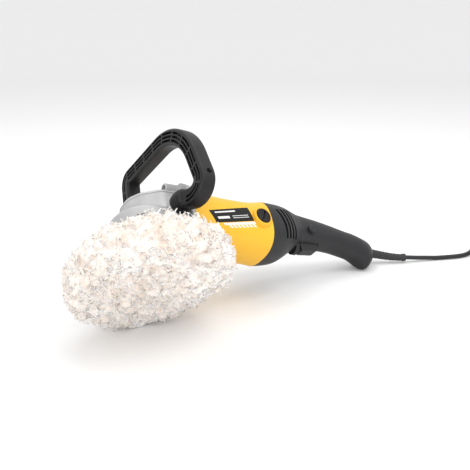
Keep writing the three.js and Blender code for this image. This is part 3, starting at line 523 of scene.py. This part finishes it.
def prism(name, outline, low, high, axis="z", edge=0.0):
    """An outline drawn along an axis. At each end it shrinks about its middle, over a length of edge."""
    cx, cy = (sum(p[i] for p in outline) / len(outline) for i in (0, 1))
    reach = max(math.hypot(x - cx, y - cy) for x, y in outline)
    small = 1 - edge / reach
    levels = [(low, 1), (high, 1)]
    if edge:
        levels = [(low, small), (low + edge, 1), (high - edge, 1), (high, small)]
    verts = []
    for level, size in levels:
        for x, y in outline:
            px, py = cx + (x - cx) * size, cy + (y - cy) * size
            verts.append((level, px, py) if axis == "x" else (px, py, level))
    return build(name, verts, ring_faces(len(levels), len(outline)))


def rounded(points, radius, steps=6):
    """A closed outline with its corners replaced by arcs."""
    outline = []
    for i, corner in enumerate(points):
        a, b, c = Vector(points[i - 1]), Vector(corner), Vector(points[(i + 1) % len(points)])
        into, away = (a - b).normalized(), (c - b).normalized()
        half = into.angle(away) / 2
        cutback = min(radius / math.tan(half), 0.45 * (a - b).length, 0.45 * (c - b).length)
        start, end = b + into * cutback, b + away * cutback
        for k in range(steps + 1):
            t = k / steps
            outline.append(start * (1 - t)**2 + b * 2 * t * (1 - t) + end * t * t)
    return [(p.x, p.y) for p in outline]


def chamfered(half, low, high, chamfer):
    return [(-half, low + chamfer), (-half + chamfer, low), (half - chamfer, low), (half, low + chamfer),
            (half, high - chamfer), (half - chamfer, high), (-half + chamfer, high), (-half, high - chamfer)]


CROWN = rounded(HEAD_SIDE + [(x, -y) for x, y in HEAD_SIDE[::-1]], CROWN_CORNER, CROWN_STEPS)


def side_by_side(name, profile, centre, sides):
    """The same body of revolution on the left and on the right, along y."""
    return [turned(name, [(r, side * h) for r, h in profile], "y", centre, sides) for side in (-1, 1)]


def head_casing():
    """The bowl with its crown, rear block, flange, screw bosses and handle seats."""
    rows = [(0.5, FLOOR_Z), (BOWL - BOWL_CORNER, FLOOR_Z)]
    rows += arc(BOWL - BOWL_CORNER, FLOOR_Z + BOWL_CORNER, BOWL_CORNER, -80, 0, 8)
    rows += arc(BOWL - BOWL_SHOULDER, STEP_Z - BOWL_SHOULDER, BOWL_SHOULDER, 0, 90, 9)
    casing = turned("gear_casing", rows + [(0.5, STEP_Z)], sides=128)
    crown = prism("crown", CROWN, STEP_Z - 3, TOP_Z, "z", 1.8)
    rear = prism("rear", rounded(chamfered(36, FLOOR_Z + 1, CREST - 6, 12), 8), 26, REAR - 5, "x")
    flange = prism("flange", rounded(chamfered(42, -38, CREST + 2, 13), 8), REAR - 6, REAR, "x", 0.8)
    boss = [(6.0, 20), (6.6, 20.8), (6.6, REAR - 1)]
    bosses = [turned("boss", boss, "x", (0, y, z), 40) for y, z in FLANGE_SCREWS]
    seat = [(16, 34), (14.7, HANDLE_SEAT - 0.8), (14, HANDLE_SEAT)]
    seats = side_by_side("seat", seat, (HANDLE_X, 0, HANDLE_Z), 64)
    return join(casing, crown, rear, flange, *bosses, *seats)


def head_rim():
    """A thin ring that cuts a line round the crown."""
    outer = prism("rim_out", [(x * RIM_OUT, y * RIM_OUT) for x, y in CROWN], RIM_LOW, RIM_HIGH)
    middle = 5
    inner = [((x - middle) * RIM_IN + middle, y * RIM_IN) for x, y in CROWN]
    return cut(outer, prism("rim_in", inner, RIM_LOW - 0.4, RIM_HIGH + 0.5))


def gear_head():
    casing = head_casing()
    tools = [turned("room", [(GEAR_ROOM, FLOOR_Z - 5), (GEAR_ROOM, STEP_Z - 3)], sides=64),
             turned("room", [(13, -12), (13, 12)], sides=48),
             turned("room", [(11.6, 2), (11.6, 15.8)], sides=48),
             turned("room", [(PINION_ROOM, 0), (PINION_ROOM, REAR + 1)], "x", sides=48),
             turned("room", [(BEARING_ROOM, REAR - 3), (BEARING_ROOM, REAR + 1)], "x", sides=48),
             turned("room", [(LOCK_HOLE, -20), (LOCK_HOLE, TOP_Z + 1)], centre=(2, 17, 0), sides=32),
             head_rim()]
    for y, z in FLANGE_SCREWS:
        tools.append(turned("bore", [(SCREW_HOLE, 18), (SCREW_HOLE, REAR + 1)], "x", (0, y, z), 24))
        tools.append(turned("bore", [(SCREW_HEAD, 18), (SCREW_HEAD, 30)], "x", (0, y, z), 32))
    thread = [(HANDLE_THREAD, 24), (HANDLE_THREAD, 48)]
    tools += side_by_side("thread", thread, (HANDLE_X, 0, HANDLE_Z), 32)
    for angle, height, length in SLITS:
        turn = Matrix.Rotation(math.radians(angle), 4, "Z")
        tools.append(block("slit", BOWL - 2.2, BOWL + 4, -length / 2, length / 2, height - 0.7, height + 0.7,
                           TOOL_MM @ turn))
    cut(casing, *tools)
    finish_piece(bevel(casing, 0.5, 3, 50), "housing", CAST, "cast_aluminium", "gear_housing")


gear_head()

# -------- motor housing
MOTOR_SHAPE = table("xwhzn", (50, 41.4, 41, 1.4, 3.3), (58, 41.2, 40, 0.4, 3), (78, 40.6, 39, -0.2, 2.6),
                    (105, 40, 38.6, -0.2, 2.4), (145, 40, 39, 0.2, 2.3), (160, 40.8, 40, 0.8, 2.4),
                    (169, 41.4, 40.8, 1.2, 2.5))
MOTOR_FRONT, MOTOR_REAR, MOTOR_BORE, SHAFT_BORE = 50.3, 168, 36.8, 14.4
BRUSH_X, BRUSH_SEAT, BRUSH_PORT, CAP_RADIUS, CAP_GAP = 152, 45.4, 8.6, 10.6, 0.5
CAP_SLIT_ANGLE, CAP_SLIT_HALF, CAP_SLIT_REACH = 28, 1.3, 7.4


def motor_housing():
    """The yellow barrel with its motor bore and a well for each brush cap."""
    body = shaped("motor_casing", MOTOR_SHAPE, MOTOR_FRONT, MOTOR_REAR, 80, 128)
    boss = [(14.2, 24), (14.0, 42), (13.5, BRUSH_SEAT - 1.5), (12.8, BRUSH_SEAT - 0.6)]
    join(body, *side_by_side("boss", boss, (BRUSH_X, 0, 0), 64))
    bore = [(MOTOR_BORE, 49), (MOTOR_BORE, 164), (SHAFT_BORE, 165.3), (SHAFT_BORE, 169)]
    tools = [turned("bore", bore, "x", sides=96)]
    well = [(CAP_RADIUS + CAP_GAP, 40.6), (CAP_RADIUS + CAP_GAP, 60)]
    tools += side_by_side("well", well, (BRUSH_X, 0, 0), 64)
    tools += side_by_side("port", [(BRUSH_PORT, 20), (BRUSH_PORT, 42)], (BRUSH_X, 0, 0), 48)
    for y, z in FLANGE_SCREWS:
        tools.append(turned("screw_hole", [(2.4, 49), (2.4, 64)], "x", (0, y, z), 20))
    cut(body, *tools)
    finish_piece(body, "housing", YELLOW, "yellow_housing", "motor_housing")


def brush_caps():
    """Round screw caps with a dished face and a slit for a coin or a driver."""
    rows = [(0, -4.4), (0, 0), (-0.6, 0.8), (-1.6, 1), (-2.6, 1), (-3, 0.3), (-4, 0.2)]
    turn = Matrix.Translation((BRUSH_X, 0, 0)) @ Matrix.Rotation(math.radians(CAP_SLIT_ANGLE), 4, "Y")
    for name, side in (("left", -1), ("right", 1)):
        profile = [(CAP_RADIUS + r, side * (BRUSH_SEAT + h)) for r, h in rows]
        cap = turned(f"brush_screw_cap_{name}", profile, "y", (BRUSH_X, 0, 0), 64)
        y0, y1 = sorted((side * (BRUSH_SEAT - 1.6), side * (BRUSH_SEAT + 2)))
        cut(cap, block("slit", -CAP_SLIT_HALF, CAP_SLIT_HALF, y0, y1, -CAP_SLIT_REACH, CAP_SLIT_REACH,
                       TOOL_MM @ turn))
        finish_piece(cap, "housing", BLACK, "black_plastic", f"brush_cap_{name}")


def flank_point(x, z, lift):
    """A point on the left flank of the motor housing."""
    w, h, middle, n = (smooth_value(MOTOR_SHAPE, key, x) for key in "whzn")
    y = w * (1 - min(1, abs((z - middle) / h)) ** n) ** (1 / n)
    return Vector((x, -y - lift, z))


def between(corners, u, v):
    """The point at shares u and v between four (x, z) corners."""
    (xa, za), (xb, zb), (xc, zc), (xd, zd) = corners
    x = (xa * (1 - u) + xb * u) * (1 - v) + (xd * (1 - u) + xc * u) * v
    z = (za * (1 - u) + zb * u) * (1 - v) + (zd * (1 - u) + zc * u) * v
    return x, z


def decal(name, corners, lift, material, slot, columns=24, rows=8):
    """A thin printed patch on the flank, between four (x, z) corners."""
    verts = []
    for layer in (lift + 0.12, lift - 0.1):
        for j in range(rows + 1):
            for i in range(columns + 1):
                x, z = between(corners, i / columns, j / rows)
                verts.append(flank_point(x, z, layer))
    across, half = columns + 1, (columns + 1) * (rows + 1)
    faces = []
    for j in range(rows):
        for i in range(columns):
            a = j * across + i
            quad = (a, a + 1, a + 1 + across, a + across)
            faces += [quad, tuple(k + half for k in quad[::-1])]
    rim = list(range(across)) + [j * across + columns for j in range(1, rows + 1)]
    rim += [rows * across + i for i in range(columns - 1, -1, -1)]
    rim += [j * across for j in range(rows - 1, 0, -1)]
    faces += [(a, a + half, b + half, b) for a, b in zip(rim, rim[1:] + rim[:1])]
    finish_piece(build(name, verts, faces), "housing", material, slot)


LABEL = [(69.7, -1.8), (133.7, 13.7), (138.5, -6.8), (78.8, -17.2)]
LABEL_BARS = [(0.10, 0.16, 0.62, 0.27), (0.10, 0.56, 0.40, 0.74), (0.48, 0.56, 0.90, 0.60),
              (0.48, 0.70, 0.90, 0.74)]
BAND = [(0.16, 1.05), (1.0, 1.05), (1.02, 1.2), (0.19, 1.2)]
PRINT_LIFT, BAR_LIFT = 0.05, 0.2
HATCHES, HATCH_START, HATCH_STEP, HATCH_WIDTH, HATCH_SLANT = 7, 0.28, 0.105, 0.055, 0.06
HATCH_TOP, HATCH_LOW = 1.2, 1.4


def label():
    """A black plate with four plain bars, and a band with slanted teeth. None of it is lettering."""
    decal("rating_plate", LABEL, PRINT_LIFT, INK_BLACK, "black_plastic", 40, 12)
    for i, (u0, v0, u1, v1) in enumerate(LABEL_BARS, 1):
        corners = [between(LABEL, u, v) for u, v in ((u0, v0), (u1, v0), (u1, v1), (u0, v1))]
        decal(f"plate_bar_{i}", corners, BAR_LIFT, INK_WHITE, "yellow_housing", 8, 2)
    band = [between(LABEL, u, v) for u, v in BAND]
    decal("plate_band", band, PRINT_LIFT, INK_WHITE, "yellow_housing", 24, 2)
    for i in range(HATCHES):
        u0 = HATCH_START + i * HATCH_STEP
        u1 = u0 + HATCH_WIDTH
        top = [(u0, HATCH_TOP), (u1, HATCH_TOP)]
        low = [(u1 + HATCH_SLANT, HATCH_LOW), (u0 + HATCH_SLANT, HATCH_LOW)]
        corners = [between(LABEL, u, v) for u, v in top + low]
        decal(f"plate_hatch_{i + 1}", corners, PRINT_LIFT, INK_WHITE, "yellow_housing", 2, 3)


motor_housing()
brush_caps()
label()

# -------- rear housing and grip
GRIP_SHAPE = table(
    "xwhzn", (168, 41.4, 40.8, 1.2, 2.5), (180, 40.8, 40.8, 2.2, 2.4), (196, 38.4, 40, 4.4, 2.3),
    (210, 33.6, 36.4, 8, 2.3), (224, 27.6, 31, 11.6, 2.3), (238, 23, 25, 13.8, 2.3),
    (256, 21, 22.6, 14, 2.3), (280, 19.8, 21.2, 12.4, 2.3), (305, 19, 20, 9.2, 2.2),
    (330, 18.6, 19.6, 4, 2.2), (346, 18.8, 20.6, 0.2, 2.2), (358, 19.4, 23.8, -6, 2.1),
    (366, 18.8, 24.5, -9, 2.1), (374, 16.4, 20.3, -8, 2.1), (381, 12, 15, -6.4, 2),
    (TAIL_X, 8.6, 9, EXIT_Z, 2))
JOINT_X, WALL, SEAM = 168.3, 2.8, 0.15
TRIGGER_FRONT, TRIGGER_REAR, DIAL_X = 240, 273, 232
LOCK_X, LOCK_Z, LOCK_RADIUS = 256, 7, 6
VENTS, VENT_X, VENT_STEP, VENT_RISE, VENT_LEAN = 4, 190, 8.2, 2.4, -15
VENT_REACH, VENT_HALF, VENT_BOW = 21, 2.3, 2.6


def vent_slots(side):
    """Curved air slots, bowed to the rear and leaning, cut through one side."""
    shares = [k / 12 for k in range(13)]
    bowed = [(VENT_BOW * (math.sin(math.pi * t) - 0.5), VENT_REACH * (2 * t - 1)) for t in shares]
    outline = [(x - VENT_HALF, z) for x, z in bowed] + [(x + VENT_HALF, z) for x, z in bowed[::-1]]
    lean = Matrix.Rotation(math.radians(VENT_LEAN), 4, "Y")
    slots = []
    for row in range(VENTS):
        middle = Matrix.Translation((VENT_X + row * VENT_STEP, 0, row * VENT_RISE - 1)) @ lean
        verts = [middle @ Vector((x, y, z)) for y in (side * 10, side * 60) for x, z in outline]
        slots.append(build("slot", verts, ring_faces(2, len(outline))))
    return slots


def grip_shell(name, side):
    """One half of the rear housing and grip: a hollow shell with the openings for what moves in it."""
    shell = shaped(f"grip_half_{name}", GRIP_SHAPE, JOINT_X, TAIL_X, 130, 96)
    cut(shell, shaped("hollow", GRIP_SHAPE, JOINT_X - 1, TAIL_X - 3, 60, 48, WALL))
    y0, y1 = sorted((-side * 60, side * SEAM))
    tools = [block("other_half", 160, 400, y0, y1, -60, 70)]
    tools.append(block("trigger_gap", TRIGGER_FRONT - 2.4, TRIGGER_REAR + 1.4, -8.4, 8.4, -40, -1))
    tools.append(block("dial_gap", DIAL_X - 4.3, DIAL_X + 4.3, -12.6, 12.6, -40, 0))
    tools.append(turned("exit_hole", [(7.3, 362), (7.3, 400)], "x", (0, 0, EXIT_Z), 48))
    if side < 0:
        tools.append(turned("lock_hole", [(LOCK_RADIUS + 0.5, -40), (LOCK_RADIUS + 0.5, -10)], "y",
                            (LOCK_X, 0, LOCK_Z), 48))
    cut(shell, *tools, *vent_slots(side))
    finish_piece(shell, "housing", GREY, "grip_plastic", f"grip_shell_{name}")


grip_shell("left", -1)
grip_shell("right", 1)

# -------- D-handle
LOOP_HUB, LOOP_DEPTH, LOOP_WIDTH, LOOP_CORNER = 47, 20.2, 21.4, 4.0
LOW = (36.8, 93.8, -20.9, 18)  # each corner is x, y, z and the bend's radius
TOP_LEFT = (36.5, -75.4, 99.5, 74)
TOP_RIGHT = (36.5, 72.7, 115.7, 11)
GROOVES = (-4.9, 0.0, 4.9)
GROOVE_HALF, GROOVE_DEPTH, GROOVE_DRAFT, GROOVE_END = 1.55, 4.2, 0.25, 0.3
SLOT_LENGTH, BRIDGE, PLAIN_ENDS = 25.0, 2.6, 24
INNER_FROM, INNER_TO = 0.12, 0.62  # the inner row of slots, as shares of the length
BOLT_HOLE, BOLT_POCKET, KEY_HOLE, KEY_AIM = 4.2, 7.2, 3.2, (40, 108, 12)


def bend(before, corner, after, radius, steps):
    """Points of a round bend in place of a corner."""
    into, away = (before - corner).normalized(), (after - corner).normalized()
    half = into.angle(away) / 2
    centre = corner + (into + away).normalized() * (radius / math.sin(half))
    start = corner + into * (radius / math.tan(half)) - centre
    end = corner + away * (radius / math.tan(half)) - centre
    turn = start.angle(end)
    points = []
    for i in range(steps + 1):
        t = i / steps
        swung = start * math.sin((1 - t) * turn) + end * math.sin(t * turn)
        points.append(centre + swung / math.sin(turn))
    return points


def loop_line():
    """Centre line of the handle, from the left hub over the top to the right hub."""
    hub_l, hub_r = Vector((HANDLE_X, -LOOP_HUB - 6, HANDLE_Z)), Vector((HANDLE_X, LOOP_HUB + 6, HANDLE_Z))
    low_l, low_r = Vector((LOW[0], -LOW[1], LOW[2])), Vector(LOW[:3])
    left, right = Vector(TOP_LEFT[:3]), Vector(TOP_RIGHT[:3])
    return ([hub_l] + bend(hub_l, low_l, left, LOW[3], 14) + bend(low_l, left, right, TOP_LEFT[3], 40)
            + bend(left, right, low_r, TOP_RIGHT[3], 14) + bend(right, low_r, hub_r, LOW[3], 14) + [hub_r])


def resample(line, places):
    """Points of a line at the given distances along it."""
    reach = [0.0]
    for a, b in zip(line, line[1:]):
        reach.append(reach[-1] + (b - a).length)
    out, i = [], 0
    for s in places:
        while i < len(line) - 2 and reach[i + 1] < s:
            i += 1
        out.append(line[i].lerp(line[i + 1], (s - reach[i]) / (reach[i + 1] - reach[i])))
    return out


def handle_section(depth_of):
    """The handle's cross-section as (deep, across) pairs; the front face carries the grooves."""
    d, w, r = LOOP_DEPTH / 2, LOOP_WIDTH / 2, LOOP_CORNER
    points = arc(d - r, w - r, r, 90, 0, 6) + arc(d - r, -w + r, r, 0, -90, 6)
    points += arc(-d + r, -w + r, r, -90, -180, 6)
    for depth, v in zip(depth_of, GROOVES):
        low = -d + depth
        points += [(-d, v - GROOVE_HALF), (low, v - GROOVE_HALF + GROOVE_DRAFT),
                   (low, v + GROOVE_HALF - GROOVE_DRAFT), (-d, v + GROOVE_HALF)]
    return points + arc(-d + r, w - r, r, 180, 90, 6)


def handle_stations(total):
    """Distances along the handle where a section stands, each with whether the grooves are open there."""
    slots = int((total - PLAIN_ENDS) // SLOT_LENGTH)
    start = (total - slots * SLOT_LENGTH) / 2
    stations = [(0.0, False), (start - 1, False)]
    for i in range(slots):
        a, b = start + i * SLOT_LENGTH + BRIDGE / 2, start + (i + 1) * SLOT_LENGTH - BRIDGE / 2
        open_from, open_to = a + GROOVE_END, b - GROOVE_END
        stations += [(a, False), (open_from, True)]
        stations += [(open_from + (open_to - open_from) * k / 12, True) for k in range(1, 12)]
        stations += [(open_to, True), (b, False)]
    return stations + [(total, False)]


def handle_bar():
    """The bar itself, with three rows of slots in its front face."""
    line = loop_line()
    total = sum((b - a).length for a, b in zip(line, line[1:]))
    stations = handle_stations(total)
    centres = resample(line, [s for s, _ in stations])
    verts = []
    for centre, (s, grooved) in zip(centres, stations):
        ahead = resample(line, [max(0, s - 2), min(total, s + 2)])
        along = (ahead[1] - ahead[0]).normalized()
        across = along.cross(Vector((1, 0, 0))).normalized()
        deep = across.cross(along)
        rows = [True, True, INNER_FROM < s / total < INNER_TO]
        depths = [GROOVE_DEPTH if grooved and keep else 0.0 for keep in rows]
        verts += [centre + deep * d + across * v for d, v in handle_section(depths)]
    sides = len(handle_section([0, 0, 0]))
    return build("d_loop", verts, ring_faces(len(stations), sides), TOOL_MM, 30)


def d_handle():
    """The bar with a stepped hub at each end, each with its bolt hole and the way in for a key."""
    hub = [(13.5, -3.2), (14, -1), (14, 4), (13.3, 4.4), (13.3, 5.6), (13.8, 6), (13.2, 9), (12.4, 9.4),
           (12.4, 10.4), (12.6, 10.8), (11.6, 13), (8.5, 15)]
    centre = (HANDLE_X, 0, HANDLE_Z)
    bar = handle_bar()
    holes = []
    for side in (-1, 1):
        for radius, near, far in ((BOLT_HOLE, -10, 12), (BOLT_POCKET, 10, 17)):
            hole = [(radius, side * (LOOP_HUB + near)), (radius, side * (LOOP_HUB + far))]
            holes.append(turned("bolt_hole", hole, "y", centre, 32))
        aim = Vector((KEY_AIM[0], side * KEY_AIM[1], KEY_AIM[2]))
        way = [Vector((HANDLE_X, side * (LOOP_HUB + 14), HANDLE_Z)), aim]
        holes.append(tube("key_way", way, [KEY_HOLE, KEY_HOLE], 24, TOOL_MM))
    join(bar, *side_by_side("hub", [(r, LOOP_HUB + h) for r, h in hub], centre, 64))
    cut(bar, *holes)
    finish_piece(bar, "side_handle", DARK, "handle_plastic", "d_handle")


d_handle()

# -------- wool pad
PAD_RADIUS, PAD_LOW, PAD_HIGH, PAD_RIM, PAD_BROW = 96, -101, -44.5, 13, 22
PAD_LIP, PAD_POCKET, PLATE_TOP, PLATE_LOW = 70, 86.4, -60.6, -72.9
WORN_ANGLE, WORN_WIDTH, WORN_DEPTH, WORN_LIFT = 14, 72, 9.5, 7.5
FULL_ANGLE, FULL_WIDTH, FULL_RISE = 140, 60, 3.5
EDGE_FROM, EDGE_SPAN, LOW_SPAN = 50, 40, 12
TUFT_SIZE, TUFT_HEIGHT, FINE_SIZE, FINE_HEIGHT, PILE_SINK = 0.052, 5.0, 0.15, 2.4, 3.0
FLOOR_CLEAR, FLOOR_SPREAD = 0.0004, 0.0003  # metres
PAD_SIDES, TUFTS, TUFT_LEAN = 300, 620, 3.2
LOCKS, LOCKS_QUICK, LOCK_SIDES, LOCK_STEPS, LOCK_TWIST = 1500, 500, 5, 6, 0.5
LOCK_LENGTH, LOCK_THICK, LOCK_RISE, LOCK_BOW = (7.0, 13.0), (0.35, 0.9), (0.06, 0.28), (0.5, 1.6)
SEED = 7


def pad_profile():
    """Outline of the pad's outer skin, from the middle of the working face round the rim to the lip."""
    points = [(2 + (PAD_RADIUS - PAD_RIM - 2) * k / 40, PAD_LOW) for k in range(40)]
    points += arc(PAD_RADIUS - PAD_RIM, PAD_LOW + PAD_RIM, PAD_RIM, -90, 0, 13)
    flat = (PAD_HIGH - PAD_BROW) - (PAD_LOW + PAD_RIM)
    points += [(PAD_RADIUS, PAD_LOW + PAD_RIM + flat * k / 8) for k in range(1, 8)]
    points += arc(PAD_RADIUS - PAD_BROW, PAD_HIGH - PAD_BROW, PAD_BROW, 0, 90, 15)
    return points + [(PAD_LIP, PAD_HIGH - 5)]


def clump(point):
    """Height of the pile, in millimetres, at a point of the skin: round tufts with valleys between."""
    warped = point * TUFT_SIZE + noise.noise_vector(point * 0.04) * 0.6
    first, second = noise.voronoi(warped)[0][:2]
    tuft = min(1.0, (second - first) * 1.9)
    fine = noise.fractal(point * FINE_SIZE, 0.6, 2.1, 4)
    return TUFT_HEIGHT * tuft + FINE_HEIGHT * fine - PILE_SINK


def worn(point):
    """The pile is pressed in along one stretch of the working edge, and fuller on the other side."""
    angle = math.degrees(math.atan2(point.y, point.x))
    radius = math.hypot(point.x, point.y)
    near = max(0.0, 1 - ((angle - WORN_ANGLE) / WORN_WIDTH) ** 2) ** 2
    full = max(0.0, 1 - ((angle - FULL_ANGLE) / FULL_WIDTH) ** 2) ** 2
    edge = max(0.0, min(1.0, (radius - EDGE_FROM) / EDGE_SPAN))
    low = max(0.0, min(1.0, (PLATE_LOW - 3 - point.z) / LOW_SPAN))
    inward = (WORN_DEPTH * near - FULL_RISE * full) * edge
    push = inward * (low if inward > 0 else 1.0)
    lift = WORN_LIFT * near * edge * edge * low
    return point - Vector((point.x, point.y, 0)).normalized() * push + Vector((0, 0, lift))


def press(point):
    """The point in the world, in metres. The floor presses the pile flat: nothing goes below it."""
    world = TOOL_MM @ worn(point)
    if world.z < FLOOR_CLEAR:
        world.z = FLOOR_CLEAR + random.random() * FLOOR_SPREAD
    return world


def around(radius, height, angle):
    return Vector((radius * math.cos(angle), radius * math.sin(angle), height))


def outwards(before, after, angle):
    """The skin's normal between two points of its outline."""
    out = Vector((after[1] - before[1], -(after[0] - before[0]))).normalized()
    return Vector((out.x * math.cos(angle), out.x * math.sin(angle), out.y))


def wool_pad(profile):
    """The body of the pad: the tufted outer skin, the lip and the pocket that holds the backing plate."""
    angles = [2 * math.pi * k / PAD_SIDES for k in range(PAD_SIDES)]
    verts = []
    for i, (radius, height) in enumerate(profile):
        before, after = profile[max(0, i - 1)], profile[min(len(profile) - 1, i + 1)]
        for a in angles:
            point = around(radius, height, a)
            verts.append(press(point + outwards(before, after, a) * clump(point)))
    pocket = [(PAD_LIP - 1, PAD_HIGH - 10), (PAD_LIP - 2, PLATE_TOP + 2.5), (PAD_LIP + 6, PLATE_TOP + 1),
              (PAD_POCKET, PLATE_TOP), (PAD_POCKET, PLATE_LOW), (2, PLATE_LOW)]
    verts += [press(around(radius, height, a)) for radius, height in pocket for a in angles]
    faces = ring_faces(len(profile) + len(pocket), PAD_SIDES)
    body = build("wool_backing", verts, faces, Matrix.Identity(4), 60)
    # Painted shade: the body takes the darker wool, standing in for the shade under the locks.
    finish_piece(body, "pad_drive", WOOL_BODY_SHADED, "wool", "wool_pad")


def random_spot(spans, areas):
    """A random place on the pad's skin: its stretch of the outline, radius, height and angle."""
    (a, b), t, angle = random.choices(spans, areas)[0], random.random(), random.random() * 2 * math.pi
    return a, b, a[0] + (b[0] - a[0]) * t, a[1] + (b[1] - a[1]) * t, angle


def random_way():
    return Vector([random.gauss(0, 1) for _ in range(3)])


def lock_line(spans, areas, near, tufts):
    """Centre line of one lock, from its root in the skin towards the middle of the nearest tuft."""
    a, b, radius, height, angle = random_spot(spans, areas)
    point, normal = around(radius, height, angle), outwards(a, b, angle)
    root = point + normal * (clump(point) - 0.8)
    centre, index, _ = near.find(point)
    length = random.uniform(*LOCK_LENGTH)
    tip = root + normal * length * random.uniform(*LOCK_RISE)
    sideways = centre + tufts[index] - root
    sideways -= normal * sideways.dot(normal)
    if sideways.length > 1e-6:
        tip += sideways * min(0.9, 0.75 * length / sideways.length) * random.uniform(0.5, 1.2)
    tip += random_way() * 1.5
    bow = normal * random.uniform(*LOCK_BOW) + random_way() * 1.2
    steps = range(LOCK_STEPS + 1)
    return [root.lerp(tip, k / LOCK_STEPS) + bow * math.sin(math.pi * k / LOCK_STEPS) for k in steps]


def lock_verts(line):
    """Rings along a lock, thick at the root and fine at the tip."""
    verts = []
    thick = random.uniform(*LOCK_THICK)
    for k, centre in enumerate(line):
        along = (line[min(k + 1, LOCK_STEPS)] - line[max(k - 1, 0)]).normalized()
        side = along.orthogonal().normalized()
        over = along.cross(side)
        width = thick * (1 - 0.8 * (k / LOCK_STEPS) ** 2)
        for q in range(LOCK_SIDES):
            turn = 2 * math.pi * q / LOCK_SIDES + k * LOCK_TWIST
            verts.append(press(centre + (side * math.cos(turn) + over * math.sin(turn)) * width))
    return verts


def wool_locks(name, profile, count):
    """Short curved locks of wool over the pad's body, gathered into tufts."""
    spans = list(zip(profile, profile[1:]))
    areas = [math.hypot(b[0] - a[0], b[1] - a[1]) * (a[0] + b[0]) / 2 for a, b in spans]
    near = kdtree.KDTree(TUFTS)
    tufts = []
    for i in range(TUFTS):
        _, _, radius, height, angle = random_spot(spans, areas)
        near.insert(around(radius, height, angle), i)
        tufts.append(random_way() * TUFT_LEAN)
    near.balance()
    verts, faces = [], []
    for _ in range(count):
        first = len(verts)
        verts += lock_verts(lock_line(spans, areas, near, tufts))
        faces += [tuple(first + i for i in face) for face in ring_faces(LOCK_STEPS + 1, LOCK_SIDES)]
    mesh = bpy.data.meshes.new(name)
    mesh.from_pydata(verts, [], faces)
    mesh.shade_smooth()
    piece = bpy.data.objects.new(name, mesh)
    bpy.context.scene.collection.objects.link(piece)
    finish_piece(piece, "pad_drive", WOOL, "wool")


random.seed(SEED)
noise.seed_set(SEED)
wool_pad(pad_profile())
for layer in (1, 2, 3):
    wool_locks(f"wool_locks_{layer}", pad_profile(), LOCKS)

# -------- CAD pieces that keep their shape
SLOT_OF = {row["node"]: row["material_slot"] for row in frame["record"]["subparts"]}
ROUNDED = {"bearing_cover": 0.5, "trigger": 0.5, "speed_dial": 0.25, "lock_on_button": 0.4,
           "spindle_lock_button": 0.4, "switch_body": 0.8, "speed_module": 0.6, "cord_clamp": 0.5}
EDGE_WIDTH, CREASE = 0.15, math.radians(34)


def finish_cad_nodes():
    """Each carried-over node gets its slot's material and softly rounded edges."""
    for name, node in NODES.items():
        node.data.materials.clear()
        node.data.materials.append(SLOT_LOOKS[SLOT_OF[name]])
        node.data.shade_smooth()
        bevel(node, ROUNDED.get(name, EDGE_WIDTH), 2, 32)
        node.modifiers.new("creases", "EDGE_SPLIT").split_angle = CREASE


finish_cad_nodes()

# -------- floor and light
FLOOR_LOW, FLOOR_FLAT, FLOOR_BEND, FLOOR_SIDES = -0.0002, 3.2, 1.2, 96


def pale_floor():
    """A wide round floor whose edge bends up into a backdrop."""
    rows = [(0.01, FLOOR_LOW), (1.0, FLOOR_LOW), (FLOOR_FLAT, FLOOR_LOW)]
    rows += arc(FLOOR_FLAT, FLOOR_LOW + FLOOR_BEND, FLOOR_BEND, -84, -30, 9)
    verts = [around(radius, height, 2 * math.pi * k / FLOOR_SIDES) for radius, height in rows
             for k in range(FLOOR_SIDES)]
    mesh = bpy.data.meshes.new("floor")
    mesh.from_pydata(verts, [], ring_faces(len(rows), FLOOR_SIDES)[:-1])
    mesh.shade_smooth()
    mesh.materials.append(Look("pale_floor", (0.88, 0.88, 0.88), 0.8).material)
    floor = bpy.data.objects.new("floor", mesh)
    bpy.context.scene.collection.objects.link(floor)


pale_floor()
world = bpy.data.worlds.new("studio")
bpy.context.scene.world = world
world.use_nodes = True
world.node_tree.nodes["Background"].inputs["Color"].default_value = (1, 1, 1, 1)
world.node_tree.nodes["Background"].inputs["Strength"].default_value = 0.92
bpy.context.scene.view_settings.view_transform = "Standard"


def softbox(name, position, target, size, power):
    data = bpy.data.lights.new(name, "AREA")
    data.shape, data.size, data.energy = "SQUARE", size, power
    lamp = bpy.data.objects.new(name, data)
    lamp.location = position
    lamp.rotation_euler = (Vector(target) - Vector(position)).to_track_quat("-Z", "Y").to_euler()
    bpy.context.scene.collection.objects.link(lamp)


softbox("key", (0.5, -0.7, 1.7), (0, 0, 0.1), 0.9, 9)
softbox("fill", (-1.1, -1.2, 0.75), (0, 0, 0.1), 1.2, 9)
softbox("top", (0.1, 0.6, 1.7), (0, 0, 0.1), 1.1, 7)
